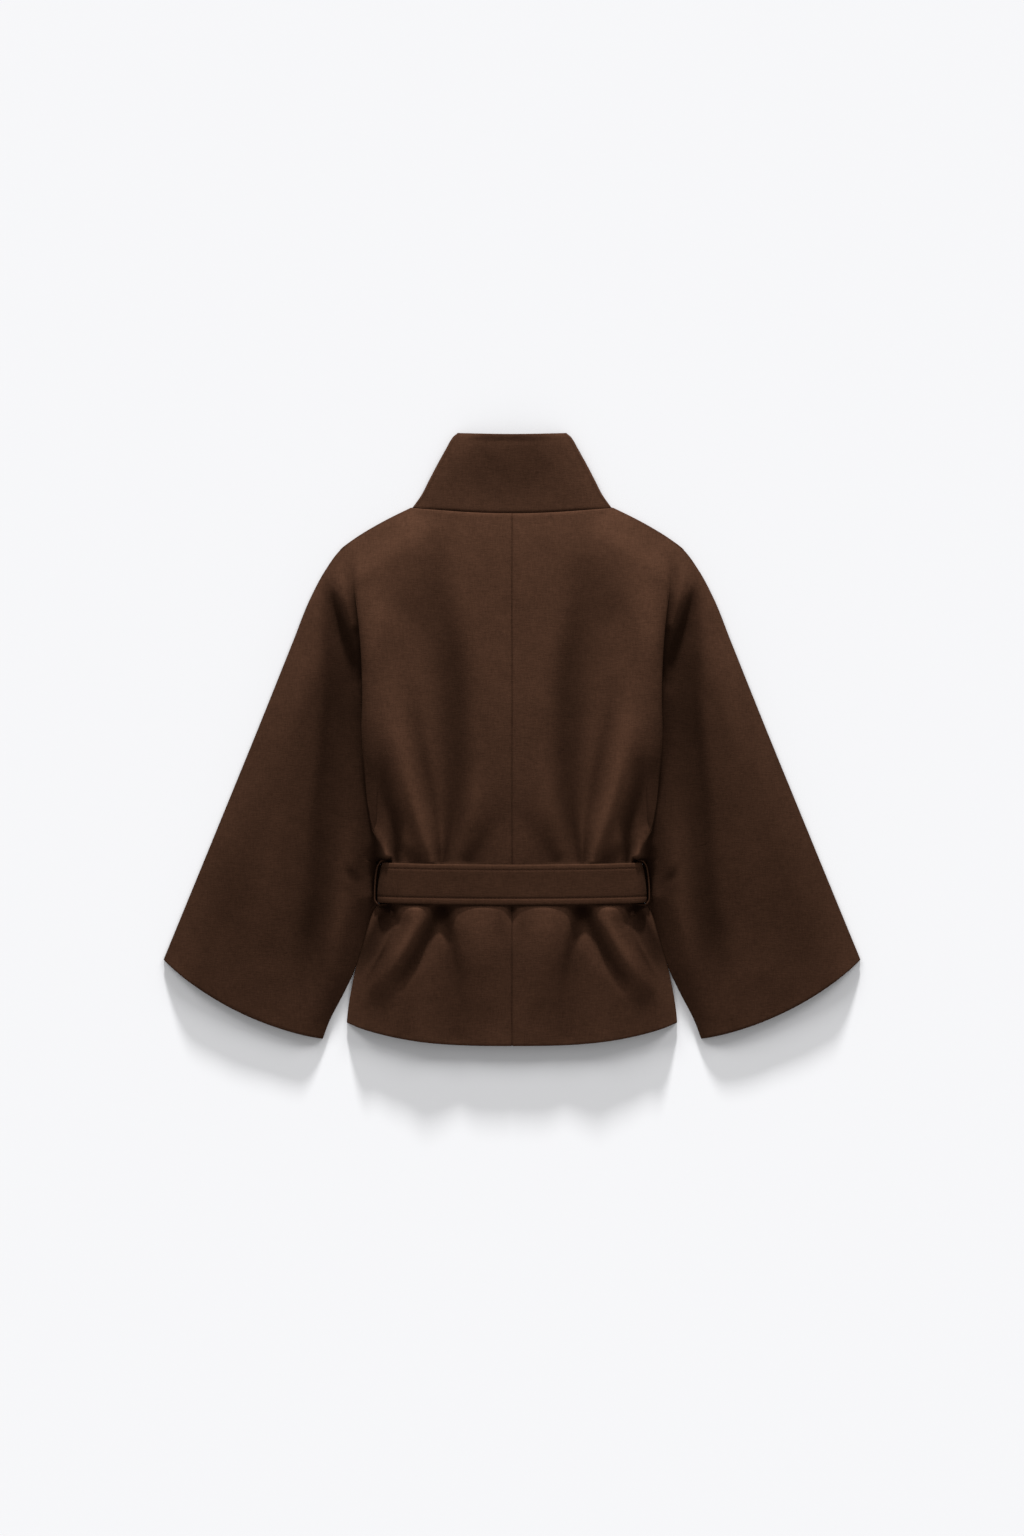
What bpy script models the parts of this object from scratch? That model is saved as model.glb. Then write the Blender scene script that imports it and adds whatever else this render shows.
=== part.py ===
import bpy
import numpy as np

# Belted jacket lying flat with its back up. Sizes are in millimetres.
# +X is the wearer's right, +Y points to the collar, +Z points up from the surface that it lies on.

WALL = 2.0
SEAM = 0.3
LAYER = WALL + SEAM
CLOTH = (0.069, 0.030, 0.017)

# Body lengths
NECK_Y = 270.0
NECK_POINT = (119.4, 277.8)
UNDERARM_Y = -139.0
BELT_TOP = -148.2
BELT_BOTTOM = -194.2
HEM_Y = -366.0
HEM_RISE = 27.0
HEM_HALF = 197.4
CUFF_BULGE = 15.0
FRONT_OVERLAP = 30.0

# Belt and loops
BELT_WALL = 2.8
BELT_GAP = 0.4
BELT_END_TOP = 155.6
BELT_END_BOTTOM = 161.2
WAIST_HALF = 148.0
LOOP_WALL = 1.8
LOOP_LOW = 4.6
LOOP_HIGH = 11.0

# Roundness of the cloth beside each seam line: the distance in which it rises from the seam
ROUND_OUTER = 46.0
ROUND_INNER = 30.0
ROUND_SIDE = 24.0

# Front neck seam: x, y
FRONT_NECK = [
    (42.0, 216.0),
    (84.0, 241.0),
    (119.4, 277.8),
]

# Shoulder and sleeve top seam: x, y
OUTER_EDGE = [
    (119.4, 277.8),
    (148.2, 263.6),
    (169.8, 251.6),
    (189.0, 239.4),
    (204.6, 227.4),
    (222.6, 203.4),
    (241.8, 167.4),
    (261.0, 119.4),
    (297.0, 29.4),
    (358.2, -120.6),
    (417.0, -264.0),
]
SLEEVE_START = 232.0

# Underarm seam of the sleeve: x, y
INNER_EDGE = [
    (168.0, -139.0),
    (168.0, -170.0),
    (169.0, -200.0),
    (176.0, -228.0),
    (183.5, -258.0),
    (201.0, -298.0),
    (221.4, -341.4),
    (227.4, -358.2),
]

# Side seam of the body below the underarm: x, y
SIDE_EDGE = [
    (148.0, -139.0),
    (148.0, -168.0),
    (148.0, -196.0),
    (152.5, -202.0),
    (165.5, -210.0),
    (173.5, -226.2),
    (185.5, -270.6),
    (195.0, -312.6),
    (197.4, -339.0),
]

# Edge of the body where it folds over the sleeve: y, x of the edge, depth of the tuck
BODY_EDGE = [
    (240.0, 195.0, 0.0),
    (223.0, 192.6, 0.0),
    (179.4, 186.6, 5.0),
    (119.4, 180.6, 10.0),
    (47.4, 178.2, 13.0),
    (11.4, 179.0, 13.0),
    (-39.0, 175.8, 12.0),
    (-81.0, 171.0, 9.0),
    (-108.6, 165.0, 4.0),
    (-125.0, 160.0, 0.0),
    (-139.0, 158.0, 0.0),
]
TUCK_SPAN = 20.0

# Height of the back above the surface: y, height at the centre, height at the body's edge
BODY_HEIGHT = [
    (272.0, 24.0, 16.0),
    (220.0, 30.0, 24.0),
    (120.0, 35.0, 30.0),
    (20.0, 36.0, 32.0),
    (-70.0, 35.0, 32.0),
    (-120.0, 31.0, 29.0),
    (-150.0, 25.0, 21.0),
    (-192.0, 25.0, 21.0),
    (-215.0, 30.0, 25.0),
    (-262.0, 28.0, 23.0),
    (-366.0, 18.0, 15.0),
]

# Height of the sleeve above the surface: y, height
SLEEVE_HEIGHT = [
    (240.0, 17.0),
    (120.0, 19.0),
    (0.0, 19.0),
    (-120.0, 20.0),
    (-260.0, 18.0),
    (-366.0, 14.0),
]

# Folds of the back, mirrored on the right:
# y and x at the top, middle and bottom, half width, height at the top and at the bottom (a valley is negative)
BODY_FOLDS = [
    (235, 92, 60, 73, -75, 67, 24, -6.0, -9.0),
    (180, 136, 140, 116, 95, 96, 16, -2.5, -2.0),
    (20, 142, -64, 119, -150, 93, 15, 3.0, 6.0),
    (-20, 153, -81, 138, -148, 137, 9, -4.0, -9.0),
    (-100, 92, -122, 92, -150, 90, 7, -1.0, -6.0),
    (-60, 69, -117, 71, -152, 78, 10, -5.0, -7.0),
    (-85, 8, -118, 28, -152, 56, 15, -1.0, -5.0),
    (-192, 146, -214, 149, -262, 168, 9, -8.0, -3.0),
    (-192, 120, -214, 118, -250, 138, 14, 6.0, 2.0),
    (-192, 85, -232, 100, -305, 138, 12, -11.0, -3.0),
    (-200, 78, -232, 70, -290, 56, 12, -6.0, -2.0),
    (-192, 40, -225, 38, -300, 34, 26, 4.0, 1.0),
    (-190, 0, -205, 0, -245, 4, 9, -4.0, -1.0),
    (-215, 150, -260, 162, -330, 178, 11, 2.0, 3.0),
    (-260, 110, -310, 116, -366, 120, 24, 1.0, 4.0),
]
SLEEVE_FOLDS = [
    (205, 226, -60, 236, -330, 228, 24, -5.0, -6.0),
    (120, 268, -90, 298, -320, 312, 34, 2.0, 5.0),
    (190, 214, 150, 202, 100, 190, 10, -3.0, -3.0),
    (-70, 186, -115, 180, -150, 178, 12, -2.0, -7.0),
    (-60, 205, -200, 203, -340, 240, 16, 2.0, 3.0),
]
BELT_PRESS = 0.85

# Collar as it lies: share of its height from the seam, half width, height of its sides
COLLAR_SECTIONS = [
    (0.0, 119.4, 4.6),
    (0.16, 109.2, 7.0),
    (0.49, 93.4, 9.0),
    (0.81, 78.4, 9.0),
    (0.95, 71.6, 8.6),
    (1.0, 68.2, 8.4),
]
COLLAR_TOP = 366.6
COLLAR_TOP_DIP = 2.4
COLLAR_FRONT_TOP = 312.0
COLLAR_CROWN_SEAM = 24.0
COLLAR_CROWN_TOP = 21.0


def smooth(t):
    t = np.clip(t, 0.0, 1.0)
    return t * t * (3.0 - 2.0 * t)


def curve(keys, values, at):
    """Smooth curve through the values, with the keys in rising order."""
    keys, values, at = np.asarray(keys, float), np.asarray(values, float), np.asarray(at, float)
    slopes = np.gradient(values, keys)
    i = np.clip(np.searchsorted(keys, at) - 1, 0, len(keys) - 2)
    step = keys[i + 1] - keys[i]
    t = np.clip((at - keys[i]) / step, 0.0, 1.0)
    return (
        (1 + 2 * t) * (1 - t) ** 2 * values[i]
        + t * (1 - t) ** 2 * step * slopes[i]
        + t * t * (3 - 2 * t) * values[i + 1]
        + t * t * (t - 1) * step * slopes[i + 1]
    )


def column(table, index, at):
    """One column of a table whose first column falls, read at the given places."""
    rows = np.asarray(table, float)[::-1]
    return curve(rows[:, 0], rows[:, index], at)


def along(line, share):
    """Points at the given shares of a line's length."""
    points = np.asarray(line, float)
    lengths = np.concatenate([[0.0], np.cumsum(np.linalg.norm(np.diff(points, axis=0), axis=1))])
    at = np.asarray(share, float) * lengths[-1]
    return np.stack([curve(lengths, points[:, k], at) for k in (0, 1)], axis=-1)


def share_at_x(line, x):
    """Share of the line's length at which it reaches x."""
    shares = np.linspace(0.0, 1.0, 400)
    return float(np.interp(x, along(line, shares)[:, 0], shares))


def distance(x, y, line):
    """Distance from each place to a line drawn through the points."""
    best = np.full(np.shape(x), np.inf)
    for (ax, ay), (bx, by) in zip(line[:-1], line[1:]):
        dx, dy = bx - ax, by - ay
        t = np.clip(((x - ax) * dx + (y - ay) * dy) / (dx * dx + dy * dy), 0.0, 1.0)
        best = np.minimum(best, np.hypot(x - ax - t * dx, y - ay - t * dy))
    return best


OUTER_LINE = [tuple(p) for p in along(OUTER_EDGE, np.linspace(0.0, 1.0, 60))]
INNER_LINE = [SIDE_EDGE[0]] + [tuple(p) for p in along(INNER_EDGE, np.linspace(0.0, 1.0, 30))]
SIDE_LINE = [INNER_EDGE[0]] + [tuple(p) for p in along(SIDE_EDGE, np.linspace(0.0, 1.0, 30))]
START_SHARE = share_at_x(OUTER_EDGE, SLEEVE_START)


def rise(x, y, line, reach):
    """0 on a seam line and 1 beyond its reach."""
    return 1.0 - (1.0 - np.clip(distance(x, y, line) / reach, 0.0, 1.0)) ** 2


def band(y, low, high, fade):
    """1 between two heights, 0 beyond the fade."""
    return smooth((y - low + fade) / fade) * smooth((high + fade - y) / fade)


def ground(x, y):
    """Height of the fronts' underside, which lies over the belt at the waist."""
    over_belt = band(y, BELT_BOTTOM - 2.5, BELT_TOP + 1.0, 9.0) * smooth((160.0 - np.abs(x)) / 4.0)
    at_ends = band(np.abs(x), -1.0, FRONT_OVERLAP + 1.0, 10.0)
    return over_belt * (BELT_WALL + SEAM + (BELT_WALL + SEAM) * at_ends)


def folds(x, y, table):
    """Sum of the folds that the table gives."""
    x = np.abs(x)
    total = np.zeros(np.shape(x))
    for y1, x1, y2, x2, y3, x3, half, top, bottom in table:
        t = np.clip((y1 - y) / (y1 - y3), 0.0, 1.0)
        centre = curve([-y1, -y2, -y3], [x1, x2, x3], -y)
        inside = smooth((y1 - y) / 30.0 + 0.5) * smooth((y - y3) / 36.0 + 0.5)
        total += (top + (bottom - top) * t) * inside * np.exp(-(((x - centre) / half) ** 2))
    return total


def body_height(x, y):
    width = np.interp(-np.asarray(y), [-240, 139, 366], [190, 155, 197])
    across = np.clip(np.abs(x) / width, 0.0, 1.0) ** 2
    centre, edge = column(BODY_HEIGHT, 1, y), column(BODY_HEIGHT, 2, y)
    pressed = 1.0 - BELT_PRESS * band(y, BELT_BOTTOM + 4.0, BELT_TOP - 4.0, 8.0)
    return centre + (edge - centre) * across + folds(x, y, BODY_FOLDS) * pressed


def sleeve_height(x, y):
    return column(SLEEVE_HEIGHT, 1, y) + folds(x, y, SLEEVE_FOLDS)


def on_seams(x, y, height, share):
    """Outer face of the back: the height wanted, brought down to the front along the seams."""
    body = rise(x, y, SIDE_LINE, ROUND_SIDE)
    sleeve = rise(x, y, INNER_LINE, ROUND_INNER)
    held = (body + (sleeve - body) * share) * rise(x, y, OUTER_LINE, ROUND_OUTER)
    low = ground(x, y) + LAYER + WALL
    return low + np.maximum(height - low, 1.0) * held


def neck_line(x):
    """Back neck seam from the centre to the neck point."""
    return NECK_Y + (NECK_POINT[1] - NECK_Y) * (np.abs(x) / NECK_POINT[0]) ** 2


def front_neck_line(x):
    return np.interp(np.abs(x), *zip(*FRONT_NECK))


def hem_line(x):
    return HEM_Y + HEM_RISE * (np.abs(x) / HEM_HALF) ** 2.9


def top_line(x, neck):
    """Top edge of a panel: its neck seam, then its shoulder."""
    shares = np.linspace(0.0, START_SHARE, 80)
    shoulder = along(OUTER_EDGE, shares)
    over = np.interp(x, shoulder[:, 0], shoulder[:, 1])
    return np.where(np.abs(x) < NECK_POINT[0], neck(x) - SEAM / 2, over)


def spread(fixed, cols, edge_x):
    """Columns across the body: some at fixed places by the centre, the rest shared out up to its edge."""
    return np.concatenate([fixed, fixed[-1] + (edge_x - fixed[-1]) * cols])


def panel_plan(fixed, neck, body_cols, tuck_cols, sleeve_cols, upper, body_rows, sleeve_rows, tucked):
    """Plan of a panel: one block above the underarm, then the body and the sleeve apart.

    It gives x, y and the share of the way from body to sleeve.
    """
    n_body, n_tuck, n_sleeve = len(fixed) + len(body_cols) - 1, len(tuck_cols) - 1, len(sleeve_cols) - 1
    shape = (len(upper), n_body + n_tuck + n_sleeve + 1)
    x, y, share = (np.zeros(shape) for _ in range(3))
    start_x = column(BODY_EDGE, 1, 236.0) - TUCK_SPAN / 2
    start_y = float(top_line(start_x, neck))
    for j, v in enumerate(upper):
        edge_y = start_y + (UNDERARM_Y - start_y) * v
        tuck = float(column(BODY_EDGE, 2, edge_y)) * tucked
        middle = float(column(BODY_EDGE, 1, edge_y)) - max(0.0, tuck - TUCK_SPAN / 4)
        middle = middle if v < 1.0 else (SIDE_EDGE[0][0] + INNER_EDGE[0][0]) / 2
        top_x = spread(fixed, body_cols, start_x)
        x[j, : n_body + 1] = spread(fixed, body_cols, middle - TUCK_SPAN / 2)
        y[j, : n_body + 1] = top_line(top_x, neck) * (1 - v) + UNDERARM_Y * v
        s = tuck_cols[1:]
        tx = middle + TUCK_SPAN * (s - 0.5) + tuck * np.sin(2 * np.pi * s)
        cols = slice(n_body + 1, n_body + n_tuck + 1)
        x[j, cols] = tx
        y[j, cols] = top_line(start_x + TUCK_SPAN * s, neck) * (1 - v) + UNDERARM_Y * v
        share[j, cols] = smooth(s)
        inner = np.array([x[j, n_body + n_tuck], y[j, n_body + n_tuck]])
        reach = START_SHARE + (1.0 - START_SHARE) * 0.60 * v
        outer = along(OUTER_EDGE, reach)
        g = sleeve_cols[1:, None]
        line = inner + (outer - inner) * g
        if v == 0.0:
            first = share_at_x(OUTER_EDGE, inner[0])
            line = along(OUTER_EDGE, first + (START_SHARE - first) * sleeve_cols[1:])
        x[j, n_body + n_tuck + 1 :], y[j, n_body + n_tuck + 1 :] = line[:, 0], line[:, 1]
        share[j, n_body + n_tuck + 1 :] = 1.0
    body = np.zeros((len(body_rows), n_body + 1, 2))
    side = np.asarray(SIDE_LINE[1:])
    for j, row_y in enumerate(body_rows):
        drop = max(0.0, (BELT_BOTTOM - row_y) / (BELT_BOTTOM - HEM_Y))
        edge_y = row_y + HEM_RISE * drop
        edge_x = float(np.interp(-edge_y, -side[:, 1], side[:, 0]))
        bx = spread(fixed, body_cols, edge_x)
        body[j, :, 0] = bx
        body[j, :, 1] = row_y + (hem_line(bx * HEM_HALF / edge_x) - HEM_Y) * drop
    sleeve = np.zeros((len(sleeve_rows), n_sleeve + 1, 2))
    for j, v in enumerate(sleeve_rows):
        inner = along(INNER_EDGE, v)
        outer = along(OUTER_EDGE, START_SHARE + (1.0 - START_SHARE) * (0.60 + 0.40 * v))
        g = sleeve_cols[:, None]
        across = np.array([outer[1] - inner[1], inner[0] - outer[0]])
        across = across / np.linalg.norm(across)
        sleeve[j] = inner + (outer - inner) * g + across * CUFF_BULGE * v**3 * 4 * g * (1 - g)
    return (x, y, share), body, sleeve, (n_body, n_tuck)


def quads_of(index):
    return np.stack([index[:-1, :-1], index[:-1, 1:], index[1:, 1:], index[1:, :-1]], axis=-1).reshape(-1, 4)


def point_normals(points, quads):
    total = np.zeros_like(points)
    a, b, c, d = (points[quads[:, k]] for k in range(4))
    face = np.cross(c - a, d - b)
    for k in range(4):
        np.add.at(total, quads[:, k], -face)
    return total / np.linalg.norm(total, axis=1, keepdims=True)


def solid(name, top, under, quads, mirror=False):
    """Closed wall between two faces that share their quads. The quads run clockwise seen from the top."""
    count = len(top)
    ends = np.concatenate([quads[:, [k, (k + 1) % 4]] for k in range(4)])
    key = np.sort(ends, axis=1)
    _, first, uses = np.unique(key, axis=0, return_index=True, return_counts=True)
    rim = ends[first[uses == 1]]
    faces = [list(q[::-1]) for q in quads] + [list(q + count) for q in quads]
    faces += [[a, b, b + count, a + count] for a, b in rim]
    points = np.concatenate([top, under]) * 0.001
    if mirror:
        points = points * [-1, 1, 1]
        faces = [f[::-1] for f in faces]
    mesh = bpy.data.meshes.new(name)
    mesh.from_pydata(points.tolist(), [], [[int(i) for i in f] for f in faces])
    mesh.validate()
    mesh.update()
    obj = bpy.data.objects.new(name, mesh)
    collection.objects.link(obj)
    for polygon in mesh.polygons:
        polygon.use_smooth = True
    material = bpy.data.materials.new(name + "_cloth")
    material.use_nodes = True
    shader = material.node_tree.nodes["Principled BSDF"]
    shader.inputs["Base Color"].default_value = (*CLOTH, 1.0)
    shader.inputs["Roughness"].default_value = 0.95
    mesh.materials.append(material)
    return obj


def panel_mesh(plan):
    """Points, quads and grid numbers of a panel's three blocks."""
    (x, y, share), body, sleeve, (n_body, n_tuck) = plan
    upper = np.arange(x.size).reshape(x.shape)
    low_body = x.size + np.arange(body[..., 0].size).reshape(body.shape[:2])
    low_sleeve = x.size + low_body.size + np.arange(sleeve[..., 0].size).reshape(sleeve.shape[:2])
    body_grid = np.vstack([upper[-1:, : n_body + 1], low_body])
    sleeve_grid = np.vstack([upper[-1:, n_body + n_tuck :], low_sleeve])
    quads = np.concatenate([quads_of(upper), quads_of(body_grid), quads_of(sleeve_grid)])
    px = np.concatenate([x.ravel(), body[..., 0].ravel(), sleeve[..., 0].ravel()])
    py = np.concatenate([y.ravel(), body[..., 1].ravel(), sleeve[..., 1].ravel()])
    ps = np.concatenate([share.ravel(), np.zeros(low_body.size), np.ones(low_sleeve.size)])
    return px, py, ps, quads, upper, body_grid, sleeve_grid, (n_body, n_tuck)


def build_back(name, mirror):
    fixed = np.array([SEAM / 2])
    body_cols = np.linspace(0.0, 1.0, 19)[1:]
    tuck_cols = np.array([0.0, 0.13, 0.21, 0.29, 0.42, 0.58, 0.71, 0.79, 0.87, 1.0])
    sleeve_cols = np.array([0.0, 0.1, 0.22, 0.36, 0.5, 0.64, 0.78, 0.9, 1.0])
    upper = np.concatenate([np.linspace(0.0, 0.78, 15), [0.82, 0.86, 0.9, 0.94, 0.97, 1.0]])
    body_rows = [-143, -147.5, -160, -180, -194, -200, -206, -213, -221, -231, -244, -262, -285, -312, -340, HEM_Y]
    sleeve_rows = np.linspace(0.0, 1.0, 11)[1:]
    plan = panel_plan(
        fixed, neck_line, body_cols, tuck_cols, sleeve_cols, upper, body_rows, sleeve_rows, 1.0
    )
    x, y, share, quads, rows, body_grid, sleeve_grid, (n_body, n_tuck) = panel_mesh(plan)
    height = body_height(x, y) * (1 - share) + sleeve_height(x, y) * share
    for j in range(rows.shape[0]):
        ends = rows[j, [n_body, n_body + n_tuck]]
        held = rows[j, n_body + 1 : n_body + n_tuck]
        high, low = body_height(x[ends[0]], y[ends[0]]), sleeve_height(x[ends[1]], y[ends[1]])
        height[held] = high + (low - high) * share[held]
    z = on_seams(x, y, height, share)
    top = np.stack([x, y, z], axis=1)
    normals = point_normals(top, quads)
    centre = np.concatenate([rows[:, 0], body_grid[1:, 0]])
    normals[centre, 0] = 0.0
    normals[rows[0]] *= [1, 0, 1]
    seams = np.concatenate([
        rows[0][x[rows[0]] > NECK_POINT[0] - 1.0],
        rows[:, -1],
        sleeve_grid[:, -1],
        sleeve_grid[:, 0],
        body_grid[:, -1],
        rows[-1, n_body : n_body + n_tuck + 1],
    ])
    normals[seams] = [0, 0, 1]
    normals /= np.linalg.norm(normals, axis=1, keepdims=True)
    return solid(name, top, top - normals * WALL, quads, mirror)


def build_front(name, mirror, lift):
    fixed = np.array([-FRONT_OVERLAP, 0.0, FRONT_OVERLAP + 2.0, FRONT_OVERLAP + 12.0])
    body_cols = np.array([0.296, 0.545, 0.76, 1.0])
    tuck_cols = np.array([0.0, 0.5, 1.0])
    sleeve_cols = np.array([0.0, 0.5, 1.0])
    upper = np.array([0.0, 0.03, 0.1, 0.3, 0.6, 0.9, 0.97, 1.0])
    body_rows = [-141.5, -144, -148, -171, -196, -200, -205, -212, -230, -262, -300, -335, HEM_Y]
    sleeve_rows = np.array([0.2, 0.4, 0.6, 0.8, 0.9, 1.0])
    plan = panel_plan(
        fixed, front_neck_line, body_cols, tuck_cols, sleeve_cols, upper, body_rows, sleeve_rows, 0.0
    )
    x, y, _, quads, _, _, _, _ = panel_mesh(plan)
    over = lift * smooth((FRONT_OVERLAP + 12.0 - x) / 9.0)
    z = ground(x, y) + over
    under = np.stack([x, y, z], axis=1)
    top = under + [0, 0, WALL]
    return solid(name, top, under, quads, mirror)


def round_path(half, side, crown, drop, steps, lift):
    """Outer face of a band lying flattened: x and z from its lower end, round over the top, to its upper end."""
    turn = np.linspace(-90.0, 90.0, 9)[1:-1] * np.pi / 180
    across = np.linspace(1.0, -1.0, steps)
    knots = [FRONT_NECK[1][0] * half / NECK_POINT[0], half - drop]
    low_right = [(x, 0.0) for x in [-FRONT_OVERLAP, FRONT_NECK[0][0]] + knots]
    side_right = [(half - drop + drop * np.cos(a), side / 2 + side / 2 * np.sin(a)) for a in turn]
    over = [((half - drop) * f, side + (crown - side) * (1 - abs(f) ** 2.6)) for f in across]
    side_left = [(-x, z) for x, z in side_right[::-1]]
    starts = [-FRONT_OVERLAP - 12.0, -FRONT_OVERLAP - 3.0, 0.0, FRONT_OVERLAP]
    low_left = [(x, 0.0) for x in [-knots[1], -knots[0]] + starts]
    raised = [(x, lift * smooth((x + FRONT_OVERLAP + 12.0) / 9.0)) for x, _ in low_left]
    return np.array(low_right + side_right + over + side_left + raised)


def path_normals(points):
    steps = np.diff(points, axis=0)
    steps /= np.linalg.norm(steps, axis=1, keepdims=True)
    both = np.vstack([steps[:1], steps[:-1] + steps[1:], steps[-1:]])
    both /= np.linalg.norm(both, axis=1, keepdims=True)
    return np.stack([both[:, 1], -both[:, 0]], axis=1)


def build_collar():
    shares = np.array([0.0, 0.08, 0.2, 0.4, 0.6, 0.8, 0.93, 1.0])
    sections = np.asarray(COLLAR_SECTIONS)
    top, under = [], []
    for v in shares:
        half = float(curve(sections[:, 0], sections[:, 1], v))
        side = float(curve(sections[:, 0], sections[:, 2], v))
        crown = COLLAR_CROWN_SEAM + (COLLAR_CROWN_TOP - COLLAR_CROWN_SEAM) * v
        drop = side * 0.55
        path = round_path(half, side, crown, drop, 17, LAYER)
        normals = path_normals(path)
        inner = path - normals * WALL
        f = np.clip(path[:, 0] / half, -1.0, 1.0)
        on_back = np.arange(len(path))
        back = (on_back >= 4 + 3) & (on_back < len(path) - 6 - 3)
        seam = np.where(back, neck_line(f * NECK_POINT[0]), front_neck_line(f * NECK_POINT[0])) + SEAM / 2
        front_top = COLLAR_FRONT_TOP + (COLLAR_TOP - COLLAR_FRONT_TOP) * np.abs(f) ** 2.4
        back_top = COLLAR_TOP - COLLAR_TOP_DIP * (1 - f**2)
        y = seam + (np.where(back, back_top, front_top) - seam) * v
        top.append(np.stack([path[:, 0], y, path[:, 1]], axis=1))
        under.append(np.stack([inner[:, 0], y, inner[:, 1]], axis=1))
    rows, cols = len(shares), len(top[0])
    quads = quads_of(np.arange(rows * cols).reshape(rows, cols)[::-1])
    return solid("collar", np.concatenate(top), np.concatenate(under), quads[:, ::-1])


def belt_rest(x):
    """Lowest height at which a taut belt clears the back at each place."""
    rows = np.linspace(BELT_BOTTOM - 2.5, BELT_TOP, 7)[:, None]
    near = x[:, None] + np.array([-6.0, -3.0, 0.0, 3.0, 6.0])
    near = np.clip(near, -WAIST_HALF, WAIST_HALF)
    tops = [on_seams(near, np.full(near.shape, y[0]), body_height(near, y[0]), 0.0).max(axis=1) for y in rows]
    over = np.max(tops, axis=0) + BELT_GAP
    for _ in range(400):
        over[1:-1] = np.maximum(over[1:-1], (over[:-2] + over[2:]) / 2)
    return over


def build_belt():
    shares = np.linspace(0.0, 1.0, 4)
    x_over = np.linspace(138.0, -138.0, 21)
    over = belt_rest(x_over) + BELT_WALL
    turn = np.linspace(0.0, 90.0, 5) * np.pi / 180
    top, under = [], []
    for v in shares:
        end = BELT_END_BOTTOM + (BELT_END_TOP - BELT_END_BOTTOM) * v
        middle = over[0] * 0.45
        lower = [
            (WAIST_HALF + 1.0 + (end - WAIST_HALF - 1.0) * np.sin(a), middle * (1 - np.cos(a))) for a in turn
        ]
        upper = [
            (138.0 + (end - 138.0) * np.cos(a), middle + (over[0] - middle) * np.sin(a)) for a in turn[1:-1]
        ]
        right = [(x, 0.0) for x in np.linspace(-FRONT_OVERLAP, 120.0, 4)]
        left = [(x, 0.0) for x in [-120.0, -FRONT_OVERLAP - 12.0, -FRONT_OVERLAP - 3.0, FRONT_OVERLAP]]
        raised = [(x, (BELT_WALL + SEAM) * smooth((x + FRONT_OVERLAP + 12.0) / 9.0)) for x, _ in left]
        ring = right + lower + upper + list(zip(x_over, over))
        ring += [(-x, z) for x, z in upper[::-1]] + [(-x, z) for x, z in lower[::-1]] + raised
        path = np.array(ring)
        inner = path - path_normals(path) * BELT_WALL
        sag = 2.2 * (1 - (path[:, 0] / end) ** 2)
        y = BELT_BOTTOM + (BELT_TOP - BELT_BOTTOM) * v - sag
        top.append(np.stack([path[:, 0], y, path[:, 1]], axis=1))
        under.append(np.stack([inner[:, 0], y, inner[:, 1]], axis=1))
    rows, cols = len(shares), len(top[0])
    quads = quads_of(np.arange(rows * cols).reshape(rows, cols)[::-1])
    return solid("belt", np.concatenate(top), np.concatenate(under), quads[:, ::-1])


def build_loop(name, mirror):
    """Thin strip sewn to the side seam above and below the belt."""
    line = np.array([
        (149.6, -145.8),
        (157.6, -145.6),
        (161.6, -151.0),
        (163.6, -162.0),
        (164.2, -173.4),
        (164.4, -186.0),
        (163.8, -194.0),
        (160.4, -197.4),
        (150.6, -197.2),
    ])
    out = path_normals(line)
    grid_top, grid_under = [], []
    for z in (LOOP_LOW, LOOP_HIGH):
        for place, way in zip(line, out):
            grid_top.append([*(place - way * LOOP_WALL / 2), z])
            grid_under.append([*(place + way * LOOP_WALL / 2), z])
    quads = quads_of(np.arange(2 * len(line)).reshape(2, len(line)))
    return solid(name, np.array(grid_top), np.array(grid_under), quads, mirror)


for old in list(bpy.data.objects):
    bpy.data.objects.remove(old, do_unlink=True)
collection = bpy.data.collections.new("belted_jacket")
bpy.context.scene.collection.children.link(collection)

build_back("back_right", False)
build_back("back_left", True)
build_front("front_right", False, 0.0)
build_front("front_left", True, LAYER)
build_collar()
build_belt()
build_loop("belt_loop_right", False)
build_loop("belt_loop_left", True)
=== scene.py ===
import bpy
import numpy as np
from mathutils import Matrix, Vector


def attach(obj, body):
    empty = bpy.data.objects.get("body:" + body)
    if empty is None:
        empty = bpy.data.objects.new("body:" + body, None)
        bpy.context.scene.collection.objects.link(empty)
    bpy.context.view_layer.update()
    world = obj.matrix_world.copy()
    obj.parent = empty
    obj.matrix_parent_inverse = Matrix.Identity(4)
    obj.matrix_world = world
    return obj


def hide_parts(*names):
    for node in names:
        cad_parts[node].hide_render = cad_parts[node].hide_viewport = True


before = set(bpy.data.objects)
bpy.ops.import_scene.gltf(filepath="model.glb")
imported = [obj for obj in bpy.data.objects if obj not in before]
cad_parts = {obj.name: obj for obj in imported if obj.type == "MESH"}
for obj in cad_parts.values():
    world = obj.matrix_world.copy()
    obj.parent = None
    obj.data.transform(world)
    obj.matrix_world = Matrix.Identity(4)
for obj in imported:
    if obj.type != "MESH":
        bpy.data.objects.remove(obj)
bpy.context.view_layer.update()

# Belted jacket lying flat with its back up. Sizes are in millimetres unless a name says otherwise.
# +X is the wearer's right, +Y points to the collar, +Z points up from the surface that it lies on.

MM = 0.001

# Cloth: its wall, the gap between two pieces at a seam, the finer gap at the centre back, and one layer
WALL = 2.0
SEAM = 0.3
CENTRE_SEAM = 0.06
LAYER = WALL + SEAM

# Rounding of the cloth's edges: bulge as a share of a half circle, and where its rings lie, in degrees
EDGE_ROUNDNESS = 0.8
EDGE_TURNS = (50.0, 0.0, -50.0)

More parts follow.
